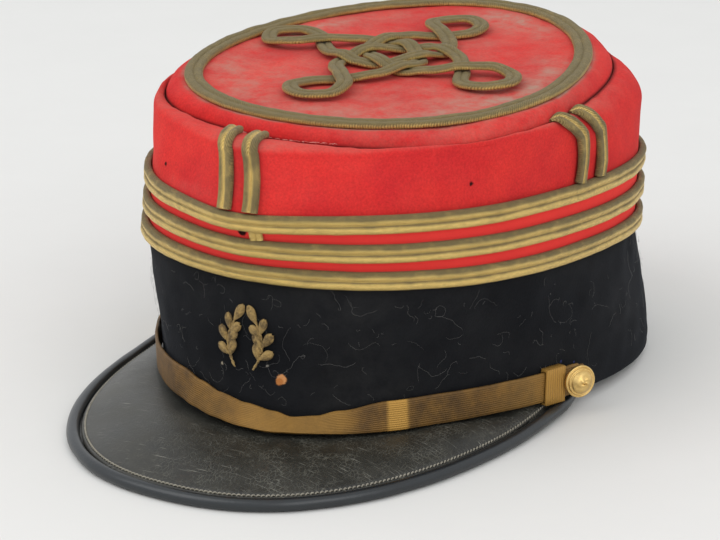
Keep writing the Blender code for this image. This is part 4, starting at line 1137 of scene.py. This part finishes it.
# Columns: share of the stem's height, side, length, width
LEAF_ROWS = ((0.20, -1, 5.4, 2.5), (0.22, 1, 5.4, 2.5), (0.42, -1, 5.6, 2.6), (0.46, 1, 5.6, 2.6),
             (0.64, -1, 5.2, 2.5), (0.70, 1, 5.0, 2.4), (0.88, 0, 6.2, 2.7))
front_ways = np.radians(np.linspace(-130.0, -50.0, 801))


def on_band(flat_points):
    """Carry flat (x, y, out) marks in mm onto the front of the band."""
    flat_points = np.asarray(flat_points, dtype=float).reshape(-1, 3)
    share = (SPRIG_MIDDLE + flat_points[:, 1]) / band_rise
    made = []
    for (x, _, lift), here in zip(flat_points, share):
        line = band_at(here, front_ways)
        angle = np.interp(x + SPRIG_SIDE, line[:, 0], front_ways)
        place, out, _ = frame_on(band_at, here, angle)
        made.append(place + out * (GAP + lift * 1.3))
    return np.array(made)


for name, side_sign in (("front_sprig_left", 1.0), ("front_sprig_right", -1.0)):
    t = np.linspace(0.0, 1.0, 40)
    stem_x = side_sign * (1.6 + 0.5 * SPRIG_SPREAD * np.sin(np.pi * (0.12 + 0.80 * t)))
    stem_y = (t - 0.5) * (SPRIG_HEIGHT - 3.0)
    flat_paths = []
    radii = []
    for phase in (0.0, np.pi):
        twist = phase + t * 34.0
        flat_paths.append(np.stack([stem_x + 0.22 * np.cos(twist), stem_y,
                                    0.35 + 0.16 * np.sin(twist)], -1))
        radii.append(0.30)
    for along_share, way, length, width in LEAF_ROWS:
        x = np.interp(along_share, t, stem_x)
        y = np.interp(along_share, t, stem_y)
        ahead = min(along_share + 0.03, 1.0)
        slope = math.atan2(np.interp(ahead, t, stem_y) - y, np.interp(ahead, t, stem_x) - x)
        heading = slope - side_sign * way * math.radians(38.0)
        cos_h, sin_h = math.cos(heading), math.sin(heading)
        for s in np.arange(0.25, length - 0.2, 0.40):
            share = s / length
            reach = 0.5 * width * math.sin(math.pi * share ** 0.85) * 1.05 + 0.12
            for lean in (1.0, -1.0):
                k = np.linspace(0.0, 1.0, 5)
                a = s + k * reach * 0.75
                b = lean * k * reach
                lift = 0.95 * np.sqrt(np.clip(1.0 - (k * 0.97) ** 2, 0.0, 1.0)) * (
                    0.55 + 0.45 * math.sin(math.pi * share)) + 0.05
                flat_paths.append(np.stack([x + a * cos_h - b * sin_h,
                                            y + a * sin_h + b * cos_h, lift], -1))
                radii.append(0.26)
    paths = [on_band(p) for p in flat_paths]
    sprig = tubes(name + "_gilt", paths, radii, GOLD_WORK, "gold_embroidery", 5)
    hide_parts(name)

# %% [markdown]
# ## Lint and loose ends
# Old wool collects hairs. They are thin curled strands that lie just off the cloth. The
# seed is fixed, so each run lays the same hairs. Frayed ends stand along the front seam.

# %% Lint on the band, frays on the seam
rng = np.random.default_rng(7)


def hair(surface, share, degrees, length, curl, lift):
    """A curled strand that lies on a surface, as (n, 3) points."""
    count = 12
    heading = rng.uniform(0.0, 2.0 * np.pi)
    bend = rng.normal(0.0, curl)
    place, out, up = frame_on(surface, share, math.radians(degrees))
    along = np.cross(up, out)
    path = []
    spot = place + out * lift
    for k in range(count):
        path.append(spot.copy())
        spot = spot + (along * math.cos(heading) + up * math.sin(heading)) * length / count
        heading += bend + rng.normal(0.0, 0.35)
    path = np.array(path)
    path += out * (0.15 * np.sin(np.linspace(0.0, 3.1, count)) * rng.uniform(0.3, 2.0))[:, None]
    return path


hairs = []
for _ in range(420):
    length = rng.choice([2.0, 4.0, 8.0, 14.0], p=[0.3, 0.3, 0.25, 0.15])
    hairs.append(hair(band_at, rng.uniform(0.12, 0.93), rng.uniform(-180.0, 180.0), length,
                      0.22, 0.45))
tubes("band_lint", hairs, rng.uniform(0.022, 0.042, len(hairs)), LINT, "black_wool", 3)
frays = []
for _ in range(46):
    frays.append(hair(side_at, rng.uniform(2.80, 2.97), rng.uniform(-100.0, -76.0),
                      rng.uniform(1.2, 3.5), 0.3, 0.6))
tubes("seam_frays", frays, rng.uniform(0.05, 0.09, len(frays)), RED_FLUFF, "red_wool", 4)

# %% [markdown]
# ## Floor, light and camera
# The cap stands on a pale sheet under broad soft light. The camera has a long lens and
# looks down by 17 degrees from the wearer's front left. Its place was solved from the
# outline of the real thing, so it is stated as angles and a distance.

# %% Floor and light
floor_mesh = bpy.data.meshes.new("floor")
floor_mesh.from_pydata([(-9, -9, 0), (9, -9, 0), (9, 9, 0), (-9, 9, 0)], [], [(0, 1, 2, 3)])
floor = bpy.data.objects.new("floor", floor_mesh)
bpy.context.collection.objects.link(floor)
paper, tree, shader, at = new_finish("matt white card", Roughness=0.9, Specular_IOR_Level=0.2)
colour = blend(tree, noise(tree, at, 60.0, 6.0, 0.7), "#e0dfdc", "#e5e4e1")
floor_mesh.materials.append(dress(paper, tree, shader, colour))

scene = bpy.context.scene
world = bpy.data.worlds.new("white room")
scene.world = world
world.use_nodes = True
world.node_tree.nodes["Background"].inputs[0].default_value = linear("#f4f6f8")
world.node_tree.nodes["Background"].inputs[1].default_value = 0.94
scene.view_settings.view_transform = "Standard"
# Columns: name, place in metres, width in metres, power in watts
for name, place, width, power in (("key", (-0.8, -1.2, 1.6), 1.6, 13.0),
                                  ("fill", (1.5, -0.9, 1.2), 1.4, 9.0)):
    lamp = bpy.data.lights.new(name, "AREA")
    lamp.shape = "SQUARE"
    lamp.size = width
    lamp.energy = power
    holder = bpy.data.objects.new(name, lamp)
    holder.location = place
    holder.rotation_mode = "QUATERNION"
    towards = Vector((0.0, 0.0, 0.05)) - Vector(place)
    holder.rotation_quaternion = towards.to_track_quat("-Z", "Y")
    bpy.context.collection.objects.link(holder)
print("stage ready")

# %% Camera
azimuth, elevation, distance = math.radians(30.12), math.radians(17.40), 903.6
yaw, pitch, roll = math.radians(-0.74), math.radians(1.64), math.radians(-0.11)
back = Vector((math.sin(azimuth) * math.cos(elevation), -math.cos(azimuth) * math.cos(elevation),
               math.sin(elevation)))
right = Vector((math.cos(azimuth), math.sin(azimuth), 0.0))
basis = Matrix((right, back.cross(right), back))
turned = (Matrix.Rotation(roll, 3, "Z") @ Matrix.Rotation(pitch, 3, "X")
          @ Matrix.Rotation(yaw, 3, "Y") @ basis)
facing = turned.transposed()
place = Vector((0.0, 0.0, 60.0)) + back * distance + Vector(SHIFT)
camera = bpy.data.objects.new("camera", bpy.data.cameras.new("camera"))
camera.data.sensor_width = 36.0
camera.data.lens = 2547.6 * 36.0 / 720.0
camera.matrix_world = Matrix.Translation(place * 0.001) @ facing.to_4x4()
bpy.context.collection.objects.link(camera)
scene.camera = camera
